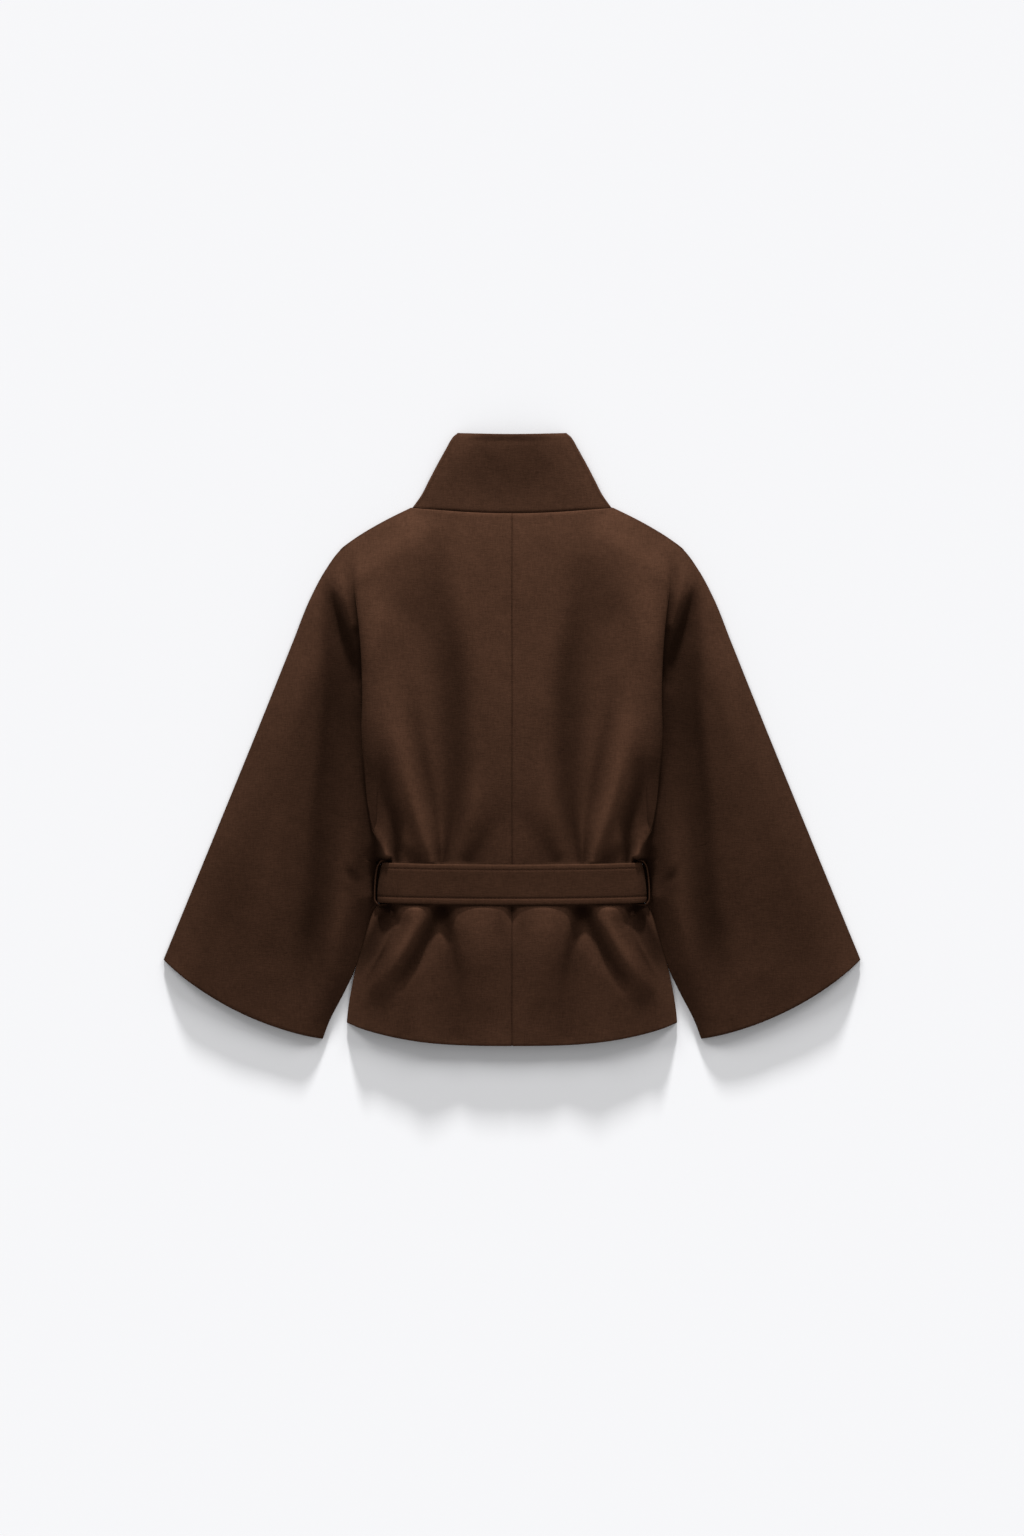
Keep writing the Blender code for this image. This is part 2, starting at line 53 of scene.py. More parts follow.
# Body lengths
NECK_Y = 270.0
NECK_POINT = (119.4, 277.8)
BELT_TOP = -148.2
BELT_BOTTOM = -194.2
UNDERARM_Y = -147.7
HEM_Y = -366.0
HEM_RISE = 27.0
HEM_HALF = 197.4
HEM_POWER = 2.9
PLEAT_END_Y = -262.0
CUFF_BULGE = 15.0

# Overlap at the centre front: how far each end goes past the centre, and where the upper one comes down
FRONT_OVERLAP = 30.0
LAP_END = FRONT_OVERLAP + 12.0
LAP_FADE = 9.0
LAP_STEPS = [-LAP_END, 3.0 - LAP_END, 6.0 - LAP_END, 9.0 - LAP_END]

# Belt: it bends down to its sides from BELT_BEND_X, and its sides lean outwards towards its lower edge
BELT_WIDTH = BELT_TOP - BELT_BOTTOM
BELT_WALL = 2.8
BELT_LAYER = BELT_WALL + SEAM
BELT_GAP = 0.4
BELT_END_TOP = 155.6
BELT_END_BOTTOM = 161.2
BELT_END_POWER = 2.2
BELT_BEND_X = 138.0
BELT_FLAT_X = 120.0
BELT_FOLD_SHARE = 0.45
BELT_SAG = 2.2
BELT_PUFF = 0.35
WAIST_HALF = 148.0

# Belt on the back: where it lies with its sag, how far it bridges to each side, room for the unevenness,
# and rounds of pulling it taut
BELT_COVER_Y = (BELT_BOTTOM - 2.5, BELT_TOP + 0.4)
BELT_BRIDGE = 6.0
UNEVEN_ROOM = 0.4
TAUT_ROUNDS = 400

# Room for the belt between the fronts and the surface, and for its double ends: from, to, fade
BELT_ROOM_Y = (BELT_BOTTOM - 2.5, BELT_TOP + 1.0, 9.0)
BELT_ROOM_X = 160.0
BELT_ROOM_FADE = 4.0
BELT_ENDS_X = (-1.0, FRONT_OVERLAP + 1.0, 10.0)

# Where the belt presses the folds flat (from, to, fade), and the share of their height that it takes
BELT_PRESS_Y = (BELT_BOTTOM + 0.7, BELT_TOP - 9.0, 10.0)
BELT_PRESS = 0.85

# Belt loops: their height off the surface, and the room that the cloth leaves them: from, to, fade
LOOP_WALL = 1.8
LOOP_LOW = 6.2
LOOP_HIGH = 12.5
LOOP_MARGIN = 4.5
LOOP_ROOM_X = (146.0, 168.0, 3.0)
LOOP_ROOM_Y = (BELT_BOTTOM - 5.0, BELT_TOP + 3.0, 4.0)

# Belt loop as it runs along the side seam: x, y
LOOP_LINE = [
    (148.6, -145.8),
    (155.6, -145.4),
    (159.6, -149.6),
    (162.4, -160),
    (163.8, -173.4),
    (164.2, -186),
    (163.4, -194),
    (160, -197.4),
    (150.6, -197.2),
]

# Roundness of the cloth beside each seam line: the distance in which it rises from the seam
ROUND_OUTER = 46.0
ROUND_INNER = 30.0
ROUND_SIDE = 24.0
ROUND_UNDERARM = 9.0
ROUND_CHANGE = 30.0

# Front neck seam: x, y
FRONT_NECK = [
    (42, 216),
    (84, 241),
    (119.4, 277.8),
]

# Shoulder and sleeve top seam: x, y
OUTER_EDGE = [
    (119.4, 277.8),
    (148.2, 263.6),
    (169.8, 251.6),
    (189, 239.4),
    (204.6, 227.4),
    (222.6, 203.4),
    (241.8, 167.4),
    (261, 119.4),
    (297, 29.4),
    (358.2, -120.6),
    (417, -264),
]

# x where the sleeve starts on that seam, and the share of the rest that lies above the underarm
SLEEVE_START = 232.0
UNDERARM_SHARE = 0.60

# Underarm seam of the sleeve, which lies close beside the body: x, y
INNER_EDGE = [
    (155.6, -147.7),
    (157.6, -156),
    (159.2, -167),
    (160, -180),
    (160.4, -192),
    (162.2, -197.4),
    (165.2, -202.4),
    (169.6, -211.4),
    (175.4, -229),
    (182.2, -253),
    (190.2, -278),
    (201, -301),
    (221.4, -341.4),
    (227.4, -358.2),
]

# Side seam of the body below the underarm: x, y
SIDE_EDGE = [
    (148, -147.7),
    (148, -172),
    (148, -194.8),
    (156.6, -196.2),
    (160.6, -198.6),
    (163.6, -202.4),
    (168.4, -211.6),
    (174.4, -229.6),
    (181, -253.4),
    (187, -276),
    (191.6, -298),
    (195.4, -320),
    (197.4, -339),
]

# Edge of the body where it folds over the sleeve: y, x, depth of the tuck, share of the shade beside it
BODY_EDGE = [
    (240, 195, 0, 0.1),
    (223, 192.6, 0, 0.2),
    (179.4, 186.6, 5, 0.5),
    (119.4, 180.6, 10, 1),
    (47.4, 178.2, 13, 1.1),
    (11.4, 179, 13, 1),
    (-39, 175.8, 12, 0.9),
    (-81, 171, 9, 1),
    (-108.6, 165, 5, 1.4),
    (-130, 158, 1, 1.2),
    (-147.7, 155.2, 0, 0.6),
]

# Strip that turns over at that edge: where it starts, its width, and how it narrows to the underarm
TUCK_START_Y = 236.0
TUCK_SPAN = 20.0
UNDERARM_SPAN = 14.4
NARROWS_FROM = 0.7

# Half width of the body across which its height falls from the centre to the edge: y, x
BODY_HALF = [
    (-366, 197),
    (-139, 155),
    (240, 190),
]

# Height of the back above the surface: y, height at the centre, height at the body's edge
BODY_HEIGHT = [
    (272, 24, 16),
    (240, 29.5, 21.5),
    (200, 33.6, 26.5),
    (150, 36, 31),
    (100, 36.8, 33),
    (50, 36.4, 33.5),
    (0, 35, 33),
    (-50, 32.4, 31),
    (-100, 29.2, 28.4),
    (-125, 27.8, 26),
    (-150, 26.4, 21.5),
    (-190, 26, 21.5),
    (-197, 29, 23.4),
    (-210, 30.6, 25.4),
    (-222, 31, 26),
    (-240, 30.6, 25),
    (-290, 26, 21),
    (-366, 18, 15),
]

# Height of the sleeve above the surface: y, height
SLEEVE_HEIGHT = [
    (240, 19),
    (190, 24),
    (120, 25),
    (0, 22.5),
    (-120, 19.5),
    (-260, 16),
    (-366, 13),
]

# Each fold's line is drawn in steps of this length, and in no fewer points than this
FOLD_STEP = 6.0
FOLD_POINTS = 8

# Folds of the back, mirrored on the other side. Each is a line of points:
# x, y, height (a valley is negative), half width towards the centre, half width towards the sleeve
BODY_FOLDS = {
    "long valley from the shoulder to the belt": [
        (90, 222, -1.5, 20, 28),
        (90, 190, -4.5, 22, 32),
        (88, 160, -6.5, 21, 35),
        (79, 118, -7.5, 20, 32),
        (71, 76, -9.5, 18, 26),
        (68, 0, -10.5, 16, 18),
        (67, -60, -9.5, 14, 14),
        (71, -110, -8.5, 11, 9),
        (77, -147, -5, 11, 7),
    ],
    "low slope of the shoulder": [
        (122, 262, -1.5, 20, 20),
        (165, 242, -3.2, 22, 22),
        (196, 216, -1.5, 16, 16),
    ],
    "faint branch below the shoulder": [
        (140, 172, -0.3, 14, 14),
        (122, 148, -1.2, 16, 16),
        (104, 120, -0.3, 14, 14),
    ],
    "crease where the sleeve starts": [
        (193, 234, -0.5, 5, 6),
        (192.5, 214, -3.2, 5, 6),
        (189, 192, -3, 5, 6),
        (187, 176, -1, 5, 5),
    ],
    "fullness beside the edge": [
        (166, 186, 1, 24, 18),
        (162, 150, 3, 20, 16),
        (164, 104, 2.8, 16, 12),
        (168, 64, 0.5, 12, 8),
    ],
    "hollow along the edge over the sleeve": [
        (182, 70, -0.5, 8, 8),
        (178, 20, -3, 12, 10),
        (172, -20, -4.5, 17, 10),
        (164, -55, -5.5, 15, 10),
        (161, -84, -6, 12, 8),
        (158, -104, -4.5, 9, 6),
        (154, -122, -1, 6, 6),
    ],
    "shallow valley beside the crest": [
        (120, 50, -0.5, 9, 9),
        (111, -10, -3, 9, 9),
        (101, -60, -3.6, 9, 8),
        (91, -114, -2.8, 6, 6),
        (88, -147, -4, 5, 5),
    ],
    "bright crest that widens upwards": [
        (146, 70, 0.5, 14, 16),
        (140, 20, 2.6, 14, 15),
        (130, -28, 4.5, 12, 12),
        (121, -64, 5, 10, 10),
        (111, -100, 5.5, 10, 9),
        (96, -147, 4.5, 7, 8),
    ],
    "deep valley at the side": [
        (154, -20, -0.5, 9, 8),
        (152, -50, -5, 9, 9),
        (146, -78, -9, 9, 11),
        (140, -100, -11, 9, 12),
        (138, -126, -10.5, 7, 9),
        (138.5, -147, -9, 7, 4),
    ],
    "hollow above the belt": [
        (128, -134, -1, 8, 8),
        (115, -146, -3, 12, 10),
    ],
    "outer crest at the belt end": [
        (163, -102, 0.4, 6, 6),
        (159, -119, 4, 6, 7),
        (151, -135, 6, 5, 7),
        (146, -147, 8, 4, 6),
    ],
    "thin crest between two pleats": [
        (83, -100, 0.2, 4, 4),
        (83.5, -130, 1.8, 3.5, 3.5),
        (84, -147, 2.4, 3, 3),
    ],
    "soft valley rising to the centre": [
        (10, -88, -0.5, 12, 12),
        (29, -118, -2.2, 14, 13),
        (50, -146, -3.8, 18, 12),
    ],
    "low crest by the centre": [
        (40, -40, 0.5, 14, 10),
        (44, -90, 2, 12, 9),
        (48, -112, 0.5, 10, 8),
    ],
    "pleat mouth at the side below the belt": [
        (148, -196, -11, 9, 8),
        (153, -212, -15, 15, 10),
        (161, -230, -12, 17, 10),
        (174, -250, -8, 18, 10),
        (186, -275, -2, 12, 8),
    ],
    "short inner tail of it": [
        (146, -198, -5, 5, 5),
        (139, -214, -3, 4, 4),
        (136, -224, -0.5, 4, 4),
    ],
    "broad tab that leans outwards": [
        (116, -197, 4.2, 14, 15),
        (114, -218, 4.6, 9, 9),
        (128, -250, 4.2, 9, 9),
        (148, -280, 3.2, 10, 12),
        (168, -306, 0.5, 14, 12),
    ],
    "thin crest on the tab": [
        (141, -219, 0.5, 3, 3),
        (157, -252, 2.6, 3.5, 2.5),
        (178, -288, 0.4, 3.5, 3),
    ],
    "big pleat mouth, outer tail": [
        (85, -196, -11, 8, 7),
        (90, -210, -10.5, 11, 6.5),
        (97, -226, -9.5, 10, 6.5),
        (111, -252, -7, 12, 6),
        (129, -284, -4.6, 8, 6),
        (139, -304, -0.5, 8, 8),
    ],
    "big pleat mouth, inner tail": [
        (79, -198, -7, 10, 8),
        (78, -222, -8.5, 8, 9),
        (73, -250, -6, 8, 6),
        (68, -288, -4.2, 11, 8),
        (65, -356, -2.4, 16, 12),
    ],
    "crest between the tails": [
        (92, -240, 0.5, 4, 4),
        (94, -260, 1.6, 9, 9),
        (98, -300, 2.4, 16, 16),
        (104, -360, 2, 18, 18),
    ],
    "broad crest beside the centre": [
        (38, -197, 2.4, 24, 20),
        (40, -236, 3.4, 24, 18),
        (32, -300, 1.5, 24, 20),
    ],
    "small pleat at the centre seam": [
        (0, -195, -5, 5, 5),
        (0, -206, -4, 5.5, 5.5),
        (0, -220, -1.2, 6, 6),
        (0, -232, -0.3, 6, 6),
    ],
    "faint valley by the centre": [
        (15, -214, -0.4, 7, 7),
        (13, -236, -1.2, 8, 8),
        (10, -262, -0.4, 8, 8),
    ],
    "low valley by the side seam": [
        (152, -290, -0.5, 12, 12),
        (159, -312, -2.4, 16, 14),
        (162, -345, -1.4, 16, 12),
    ],
}
SLEEVE_FOLDS = {
    "long step down the sleeve": [
        (222, 186, -1, 24, 9),
        (219, 150, -5, 30, 10),
        (216, 100, -8, 28, 11),
        (215, 45, -9.5, 26, 11),
        (220, -20, -9.5, 27, 11),
        (226, -80, -8.5, 27, 11),
        (229, -140, -8, 22, 12),
        (232, -200, -8.5, 18, 14),
        (236, -240, -9, 18, 17),
        (234, -290, -5.5, 20, 24),
        (228, -330, -2.5, 22, 28),
    ],
    "outer crest beside the step": [
        (250, 100, 1, 16, 20),
        (262, 20, 2, 18, 24),
        (274, -80, 2.4, 20, 30),
        (288, -180, 2.4, 24, 34),
        (300, -270, 1, 26, 34),
    ],
    "tuck under the shoulder": [
        (221, 182, -2, 6, 10),
        (211, 160, -7, 5, 12),
        (201, 134, -8, 5, 14),
        (190, 106, -8, 5, 15),
        (182, 76, -5, 8, 16),
    ],
    "cap of the sleeve": [
        (206, 200, 2, 10, 8),
        (199, 168, 4.5, 8, 7),
        (191, 136, 4, 7, 6),
    ],
    "inner crest by the belt end": [
        (196, -90, 0.5, 12, 14),
        (199, -160, 3.2, 12, 16),
        (205, -220, 3.2, 12, 14),
        (222, -290, 0.8, 14, 14),
    ],
    "dimple by the belt end": [
        (198, -152, -0.4, 5, 5),
        (191, -166, -2.2, 5, 6),
        (186, -176, -0.4, 5, 5),
    ],
}

# Painted shade (negative) or painted light, in the colour alone, given like the folds
BODY_SHADES = {
    "in the pleat at the side": [
        (150, -200, -2, 12, 10),
        (162, -230, -6, 18, 12),
        (176, -254, -12.5, 30, 14),
        (190, -285, -1, 14, 10),
    ],
    "above the belt by the centre": [
        (20, -126, -0.6, 14, 14),
        (29, -138, -3.4, 16, 14),
        (34, -147, -3.4, 16, 14),
    ],
    "by the centre towards the hem": [
        (14, -270, 0.4, 20, 20),
        (10, -305, 2.6, 22, 22),
        (10, -356, 2.6, 24, 24),
    ],
}
SLEEVE_SHADES = {
    "beside the belt end": [
        (178, -122, -1.5, 10, 12),
        (184, -150, -5, 10, 12),
        (189, -172, -7, 10, 12),
        (191, -190, -1, 8, 10),
    ],
}

# Collar as it lies: share of its height from the seam, half width, height of its sides
COLLAR_SECTIONS = [
    (0, 119.4, 4.6),
    (0.16, 109.2, 7),
    (0.38, 99, 8.6),
    (0.6, 88.8, 9),
    (0.81, 78.4, 9),
    (0.92, 73, 8.7),
    (0.97, 69.6, 8.5),
    (1, 66, 8.4),
]
COLLAR_HEIGHT = 96.0
COLLAR_TOP = 366.6
COLLAR_TOP_DIP = 2.4
COLLAR_FRONT_TOP = 312.0
COLLAR_FRONT_POWER = 2.4
COLLAR_CROWN_SEAM = 24.0
COLLAR_CROWN_TOP = 21.0
COLLAR_CROWN_POWER = 2.6
COLLAR_FOLD_SHARE = 0.55
COLLAR_FOLD_POINTS = 15
# Painted shade: share of the full colour over the whole collar
COLLAR_PAINTED_SHADE = 0.90

# Hollows of the collar's back, as shares of its half width and height: depth in millimetres, half width,
# power, middle, half height, share by which painted shade makes the colour darker
COLLAR_HOLLOWS = [
    (2.6, 0.62, 4, 0.42, 0.4, 0.18),
    (0.5, 0.75, 6, 0.92, 0.035, 0.08),
]

# Grooves at the centre back and neck seams, pressed only where the back stands this far above the front
GROOVE_DEPTH = 1.0
GROOVE_HALF = 1.7
GROOVE_CLEARANCE = 1.5

# Belt stitching: its grooves, then the size and place of each stitch and its radius from end to end
BELT_GROOVE_DEPTH = 0.6
BELT_GROOVE_HALF = 0.9
STITCH_LENGTH = 3.0
STITCH_PITCH = 4.2
STITCH_START = 4.0
STITCH_INSET_TOP = 5.4
STITCH_INSET_BOTTOM = 6.6
STITCH_SINK = 0.75
STITCH_ARCH = 0.26
STITCH_SIDES = 6
STITCH_RADII = (0.12, 0.28, 0.32, 0.28, 0.12)

# Painted shade and painted light: how much darker the colour is made for each millimetre of a valley, and
# lighter for each of a ridge, and how far its factor may go
PAINTED_SHADE_PER_MM = 0.055
PAINTED_LIGHT_LIMITS = (0.2, 1.4)

# Shade beside the tuck on the sleeve and on the body, as millimetres of a valley: depth, reach
TUCK_SHADE = (13.0, 14.0)
TUCK_SHADE_BODY = (7.0, 8.0)

# Painted shade along the centre seam: share by which the colour is darker there
SEAM_SHADE = 0.18
SEAM_SHADE_REACH = 0.8

# Painted shade on the belt, darker inside each line of stitches and at its ends (share, reach), and painted
# light, lighter outside them
BELT_HIGH_SHADE = (0.14, 5.0)
BELT_LOW_SHADE = (0.06, 4.0)
BELT_END_SHADE = (0.5, 7.0)
BELT_MARGIN_LIGHT = 0.14

# Painted shade down the garment, darker towards the hem and on the sleeve: y, share of the full colour on the
# body and on the sleeve
PAINTED_LIGHT_FALLOFF = [
    (272, 1, 0.86),
    (170, 1, 0.84),
    (107, 1, 0.80),
    (47, 0.98, 0.70),
    (-12, 0.96, 0.66),
    (-73, 0.87, 0.64),
    (-133, 0.84, 0.62),
    (-193, 0.80, 0.60),
    (-240, 0.80, 0.64),
    (-280, 0.79, 0.70),
    (-366, 0.94, 0.74),
]

# Noise in each textile: scale per metre, detail, stretch, weight in the tone
WOOL_LAYERS = {
    "weft": (130.0, 3.0, (1.0, 5.5, 1.0), 0.58),
    "warp": (130.0, 3.0, (5.5, 1.0, 1.0), 0.58),
    "speckle": (900.0, 2.0, (1.0, 1.0, 1.0), 0.42),
    "cloudy": (50.0, 2.0, (1.0, 1.0, 1.0), 0.28),
    "broad": (14.0, 3.0, (1.0, 1.0, 1.0), 0.34),
}
THREAD_LAYERS = {
    "strands": (1200.0, 1.0, (1.0, 3.0, 1.0), 0.8),
    "fibres": (4000.0, 2.0, (1.0, 1.0, 1.0), 0.5),
}


def smooth(t):
    t = np.clip(t, 0.0, 1.0)
    return t * t * (3.0 - 2.0 * t)


def curve(keys, values, at):
    """Smooth curve through the values, with the keys in rising order."""
    keys, values, at = np.asarray(keys, float), np.asarray(values, float), np.asarray(at, float)
    slopes = np.gradient(values, keys)
    i = np.clip(np.searchsorted(keys, at) - 1, 0, len(keys) - 2)
    step = keys[i + 1] - keys[i]
    t = np.clip((at - keys[i]) / step, 0.0, 1.0)
    return (
        (1 + 2 * t) * (1 - t) ** 2 * values[i]
        + t * (1 - t) ** 2 * step * slopes[i]
        + t * t * (3 - 2 * t) * values[i + 1]
        + t * t * (t - 1) * step * slopes[i + 1]
    )


def column(table, index, at):
    """One column of a table whose first column falls, read at the given places."""
    rows = np.asarray(table, float)[::-1]
    return curve(rows[:, 0], rows[:, index], at)


def unit(vectors):
    """The vectors at length 1. One without length stays as it is."""
    return vectors / (np.linalg.norm(vectors, axis=1, keepdims=True) + 1e-12)


def lengths_to(points):
    """Length of a line up to each of its points."""
    return np.concatenate([[0.0], np.cumsum(np.linalg.norm(np.diff(points, axis=0), axis=1))])


def along(line, share):
    """Points at the given shares of a line's length."""
    points = np.asarray(line, float)
    lengths = lengths_to(points)
    at =np.asarray(share, float) * lengths[-1]
    return np.stack([curve(lengths, points[:, k], at) for k in (0, 1)], axis=-1)


def share_at_x(line, x):
    """Share of the line's length at which it reaches x."""
    shares = np.linspace(0.0, 1.0, 400)
    return float(np.interp(x, along(line, shares)[:, 0], shares))


def distance(x, y, line):
    """Distance from each place to a line drawn through the points."""
    best = np.full(np.shape(x), np.inf)
    for (ax, ay), (bx, by) in zip(line[:-1], line[1:]):
        dx, dy = bx - ax, by - ay
        t = np.clip(((x - ax) * dx + (y - ay) * dy) / (dx * dx + dy * dy), 0.0, 1.0)
        best = np.minimum(best, np.hypot(x - ax - t * dx, y - ay - t * dy))
    return best


OUTER_LINE = [tuple(p) for p in along(OUTER_EDGE, np.linspace(0.0, 1.0, 90))]
INNER_LINE = [SIDE_EDGE[0]] + [tuple(p) for p in along(INNER_EDGE, np.linspace(0.0, 1.0, 70))]
SIDE_LINE = [INNER_EDGE[0]] + [tuple(p) for p in along(SIDE_EDGE, np.linspace(0.0, 1.0, 80))]
EDGE_LINE = [(x, y) for y, x, _, _ in BODY_EDGE[1:]]
START_SHARE = share_at_x(OUTER_EDGE, SLEEVE_START)


def band(y, low, high, fade):
    """1 between two places, 0 beyond the fade."""
    return smooth((y - low + fade) / fade) * smooth((high + fade - y) / fade)


def fading(away, depth, reach):
    """A shade that fades out with the distance."""
    return depth * np.exp(-away / reach)


def bell(away, half):
    """1 at no distance, falling in a soft bell on both sides."""
    return np.exp(-((away / half) ** 2))


def placed(path, y):
    """Points of a path of x and z at the given y."""
    return np.stack([path[:, 0], y, path[:, 1]], axis=1)


def rise(x, y, line, reach):
    """0 on a seam line and 1 beyond its reach. The cloth stays low for a short way under the belt loops."""
    by_loop = LOOP_MARGIN * band(y, *LOOP_ROOM_Y) * band(x, *LOOP_ROOM_X)
    away = np.maximum(distance(x, y, line) - by_loop, 0.0)
    return 1.0 - (1.0 - np.clip(away / reach, 0.0, 1.0)) ** 2


def ground(x, y):
    """Height of the fronts' underside, which lies over the belt at the waist."""
    over_belt = band(y, *BELT_ROOM_Y) * smooth((BELT_ROOM_X - np.abs(x)) / BELT_ROOM_FADE)
    at_ends = band(np.abs(x), *BELT_ENDS_X)
    return over_belt * (BELT_LAYER + BELT_LAYER * at_ends)


def fold(x, y, rows):
    """One fold: a smooth ridge or valley along its line, fading out past its ends."""
    rows = np.asarray(rows, float)
    lengths = lengths_to(rows[:, :2])
    at = np.linspace(0.0, lengths[-1], max(FOLD_POINTS, int(lengths[-1] / FOLD_STEP)))
    px, py, height, inner, outer = (curve(lengths, rows[:, k], at) for k in range(5))
    nearest = np.full(np.shape(x), np.inf)
    centre, lift, half_in, half_out = (np.zeros(np.shape(x)) for _ in range(4))
    for i in range(len(at) - 1):
        dx, dy = px[i + 1] - px[i], py[i + 1] - py[i]
        t = np.clip(((x - px[i]) * dx + (y - py[i]) * dy) / (dx * dx + dy * dy), 0.0, 1.0)
        cx, cy = px[i] + t * dx, py[i] + t * dy
        away = np.hypot(x - cx, y - cy)
        closer = away < nearest
        nearest = np.where(closer, away, nearest)
        centre = np.where(closer, cx, centre)
        lift = np.where(closer, height[i] + t * (height[i + 1] - height[i]), lift)
        half_in = np.where(closer, inner[i] + t * (inner[i + 1] - inner[i]), half_in)
        half_out = np.where(closer, outer[i] + t * (outer[i + 1] - outer[i]), half_out)
    return lift * bell(nearest, np.where(x < centre, half_in, half_out))


def folds(x, y, table):
    """Sum of the folds that the table gives."""
    return sum(fold(np.abs(x), y, rows) for rows in table.values())


def uneven(x, y, side):
    """Small unevenness of cloth laid by hand, a little different on each side: three waves, each finer."""
    shift = 1.7 if side > 0 else 0.4
    return (
        0.28 * np.sin(x / 21.0 + shift) * np.sin(y / 37.0 + 2.0 * shift)
        + 0.14 * np.sin((x + 0.6 * y) / 13.0 + 3.0 * shift) * np.sin((y - 0.3 * x) / 29.0)
        + 0.06 * np.sin((x - 0.4 * y) / 7.0 + shift) * np.sin((y + 0.5 * x) / 11.0 + shift)
    )


def body_level(x, y):
    """Height of the body without its folds."""
    across = np.clip(np.abs(x) / np.interp(y, *zip(*BODY_HALF)), 0.0, 1.0) ** 2
    centre, edge = column(BODY_HEIGHT, 1, y), column(BODY_HEIGHT, 2, y)
    return centre + (edge - centre) * across


def under_belt(y):
    """Share of the folds' height that the belt leaves."""
    return 1.0 - BELT_PRESS * band(y, *BELT_PRESS_Y)


def on_seams(x, y, height, share):
    """Outer face of the back: the height wanted, brought down to the front along the seams."""
    below_underarm = smooth((UNDERARM_Y - ROUND_CHANGE - y) / ROUND_CHANGE)
    reach = ROUND_UNDERARM + (ROUND_SIDE - ROUND_UNDERARM) * below_underarm
    body = rise(x, y, SIDE_LINE, reach)
    sleeve = rise(x, y, INNER_LINE, ROUND_INNER)
    held = (body + (sleeve - body) * share) * rise(x, y, OUTER_LINE, ROUND_OUTER)
    low = ground(x, y) + LAYER + WALL
    return low + np.maximum(height - low, 1.0) * held


def neck_line(x):
    """Back neck seam from the centre to the neck point."""
    return NECK_Y + (NECK_POINT[1] - NECK_Y) * (np.abs(x) / NECK_POINT[0]) ** 2


def front_neck_line(x):
    return np.interp(np.abs(x), *zip(*FRONT_NECK))


def hem_line(x):
    return HEM_Y + HEM_RISE * (np.abs(x) / HEM_HALF) ** HEM_POWER


def top_line(x, neck):
    """Top edge of a panel: its neck seam, then its shoulder."""
    shoulder = along(OUTER_EDGE, np.linspace(0.0, START_SHARE, 80))
    over = np.interp(x, shoulder[:, 0], shoulder[:, 1])
    return np.where(np.abs(x) < NECK_POINT[0], neck(x) - SEAM / 2, over)


def spread(fixed, cols, edge_x):
    """Columns across the body: some at fixed places by the centre, the rest shared out up to its edge."""
    return np.concatenate([fixed, fixed[-1] + (edge_x - fixed[-1]) * cols])


def upper_rows(fixed, neck, cols, upper, tucked):
    """Rows above the underarm, from the centre over the body's edge to the sleeve's outer edge."""
    body_cols, tuck_cols, sleeve_cols = cols
    n_body, n_tuck = len(fixed) + len(body_cols) - 1, len(tuck_cols) - 1
    start_x = column(BODY_EDGE, 1, TUCK_START_Y) - TUCK_SPAN / 2
    start_y = float(top_line(start_x, neck))
    s = tuck_cols[1:]
    rows = []
    for v in upper:
        edge_y = start_y + (UNDERARM_Y - start_y) * v
        tuck = float(column(BODY_EDGE, 2, edge_y)) * tucked
        span = TUCK_SPAN + (UNDERARM_SPAN - TUCK_SPAN) * smooth((v - NARROWS_FROM) / (1.0 - NARROWS_FROM))
        middle = float(column(BODY_EDGE, 1, edge_y)) - max(0.0, tuck - TUCK_SPAN / 4)
        body_x = spread(fixed, body_cols, middle - span / 2)
        body_y = top_line(spread(fixed, body_cols, start_x), neck) * (1 - v) + UNDERARM_Y * v
        tuck_x = middle + span * (s - 0.5) + tuck * np.sin(2 * np.pi * s)
        tuck_y = top_line(start_x + TUCK_SPAN * s, neck) * (1 - v) + UNDERARM_Y * v
        inner = np.array([tuck_x[-1], tuck_y[-1]])
        outer = along(OUTER_EDGE, START_SHARE + (1.0 - START_SHARE) * UNDERARM_SHARE * v)
        line = inner + (outer - inner) * sleeve_cols[1:, None]
        if v == 0.0:
            first = share_at_x(OUTER_EDGE, inner[0])
            line = along(OUTER_EDGE, first + (START_SHARE - first) * sleeve_cols[1:])
        rows.append((
            np.concatenate([body_x, tuck_x, line[:, 0]]),
            np.concatenate([body_y, tuck_y, line[:, 1]]),
        ))
    x, y = (np.array(part) for part in zip(*rows))
    share = np.concatenate([np.zeros(n_body + 1), smooth(s), np.ones(len(sleeve_cols) - 1)])
    return x, y, np.tile(share, (len(upper), 1)), n_body, n_tuck


def lower_body(fixed, body_cols, body_rows):
    """Rows of the body from the underarm to the hem."""
    rows = np.zeros((len(body_rows), len(fixed) + len(body_cols), 2))
    side = np.asarray(SIDE_LINE[1:])
    for j, row_y in enumerate(body_rows):
        drop = max(0.0, (BELT_BOTTOM - row_y) / (BELT_BOTTOM - HEM_Y))
        edge_x = float(np.interp(-(row_y + HEM_RISE * drop), -side[:, 1], side[:, 0]))
        rows[j, :, 0] = spread(fixed, body_cols, edge_x)
        rows[j, :, 1] = row_y + (hem_line(rows[j, :, 0] * HEM_HALF / edge_x) - HEM_Y) * drop
    return rows


def lower_sleeve(sleeve_cols, sleeve_rows):
    """Rows of the sleeve from the underarm to its cuff."""
    rows = np.zeros((len(sleeve_rows), len(sleeve_cols), 2))
    g = sleeve_cols[:, None]
    for j, v in enumerate(sleeve_rows):
        inner = along(INNER_EDGE, v)
        share = UNDERARM_SHARE + (1.0 - UNDERARM_SHARE) * v
        outer = along(OUTER_EDGE, START_SHARE + (1.0 - START_SHARE) * share)
        across = np.array([outer[1] - inner[1], inner[0] - outer[0]])
        across = across / np.linalg.norm(across)
        rows[j] = inner + (outer - inner) * g + across * CUFF_BULGE * v**3 * 4 * g * (1 - g)
    return rows


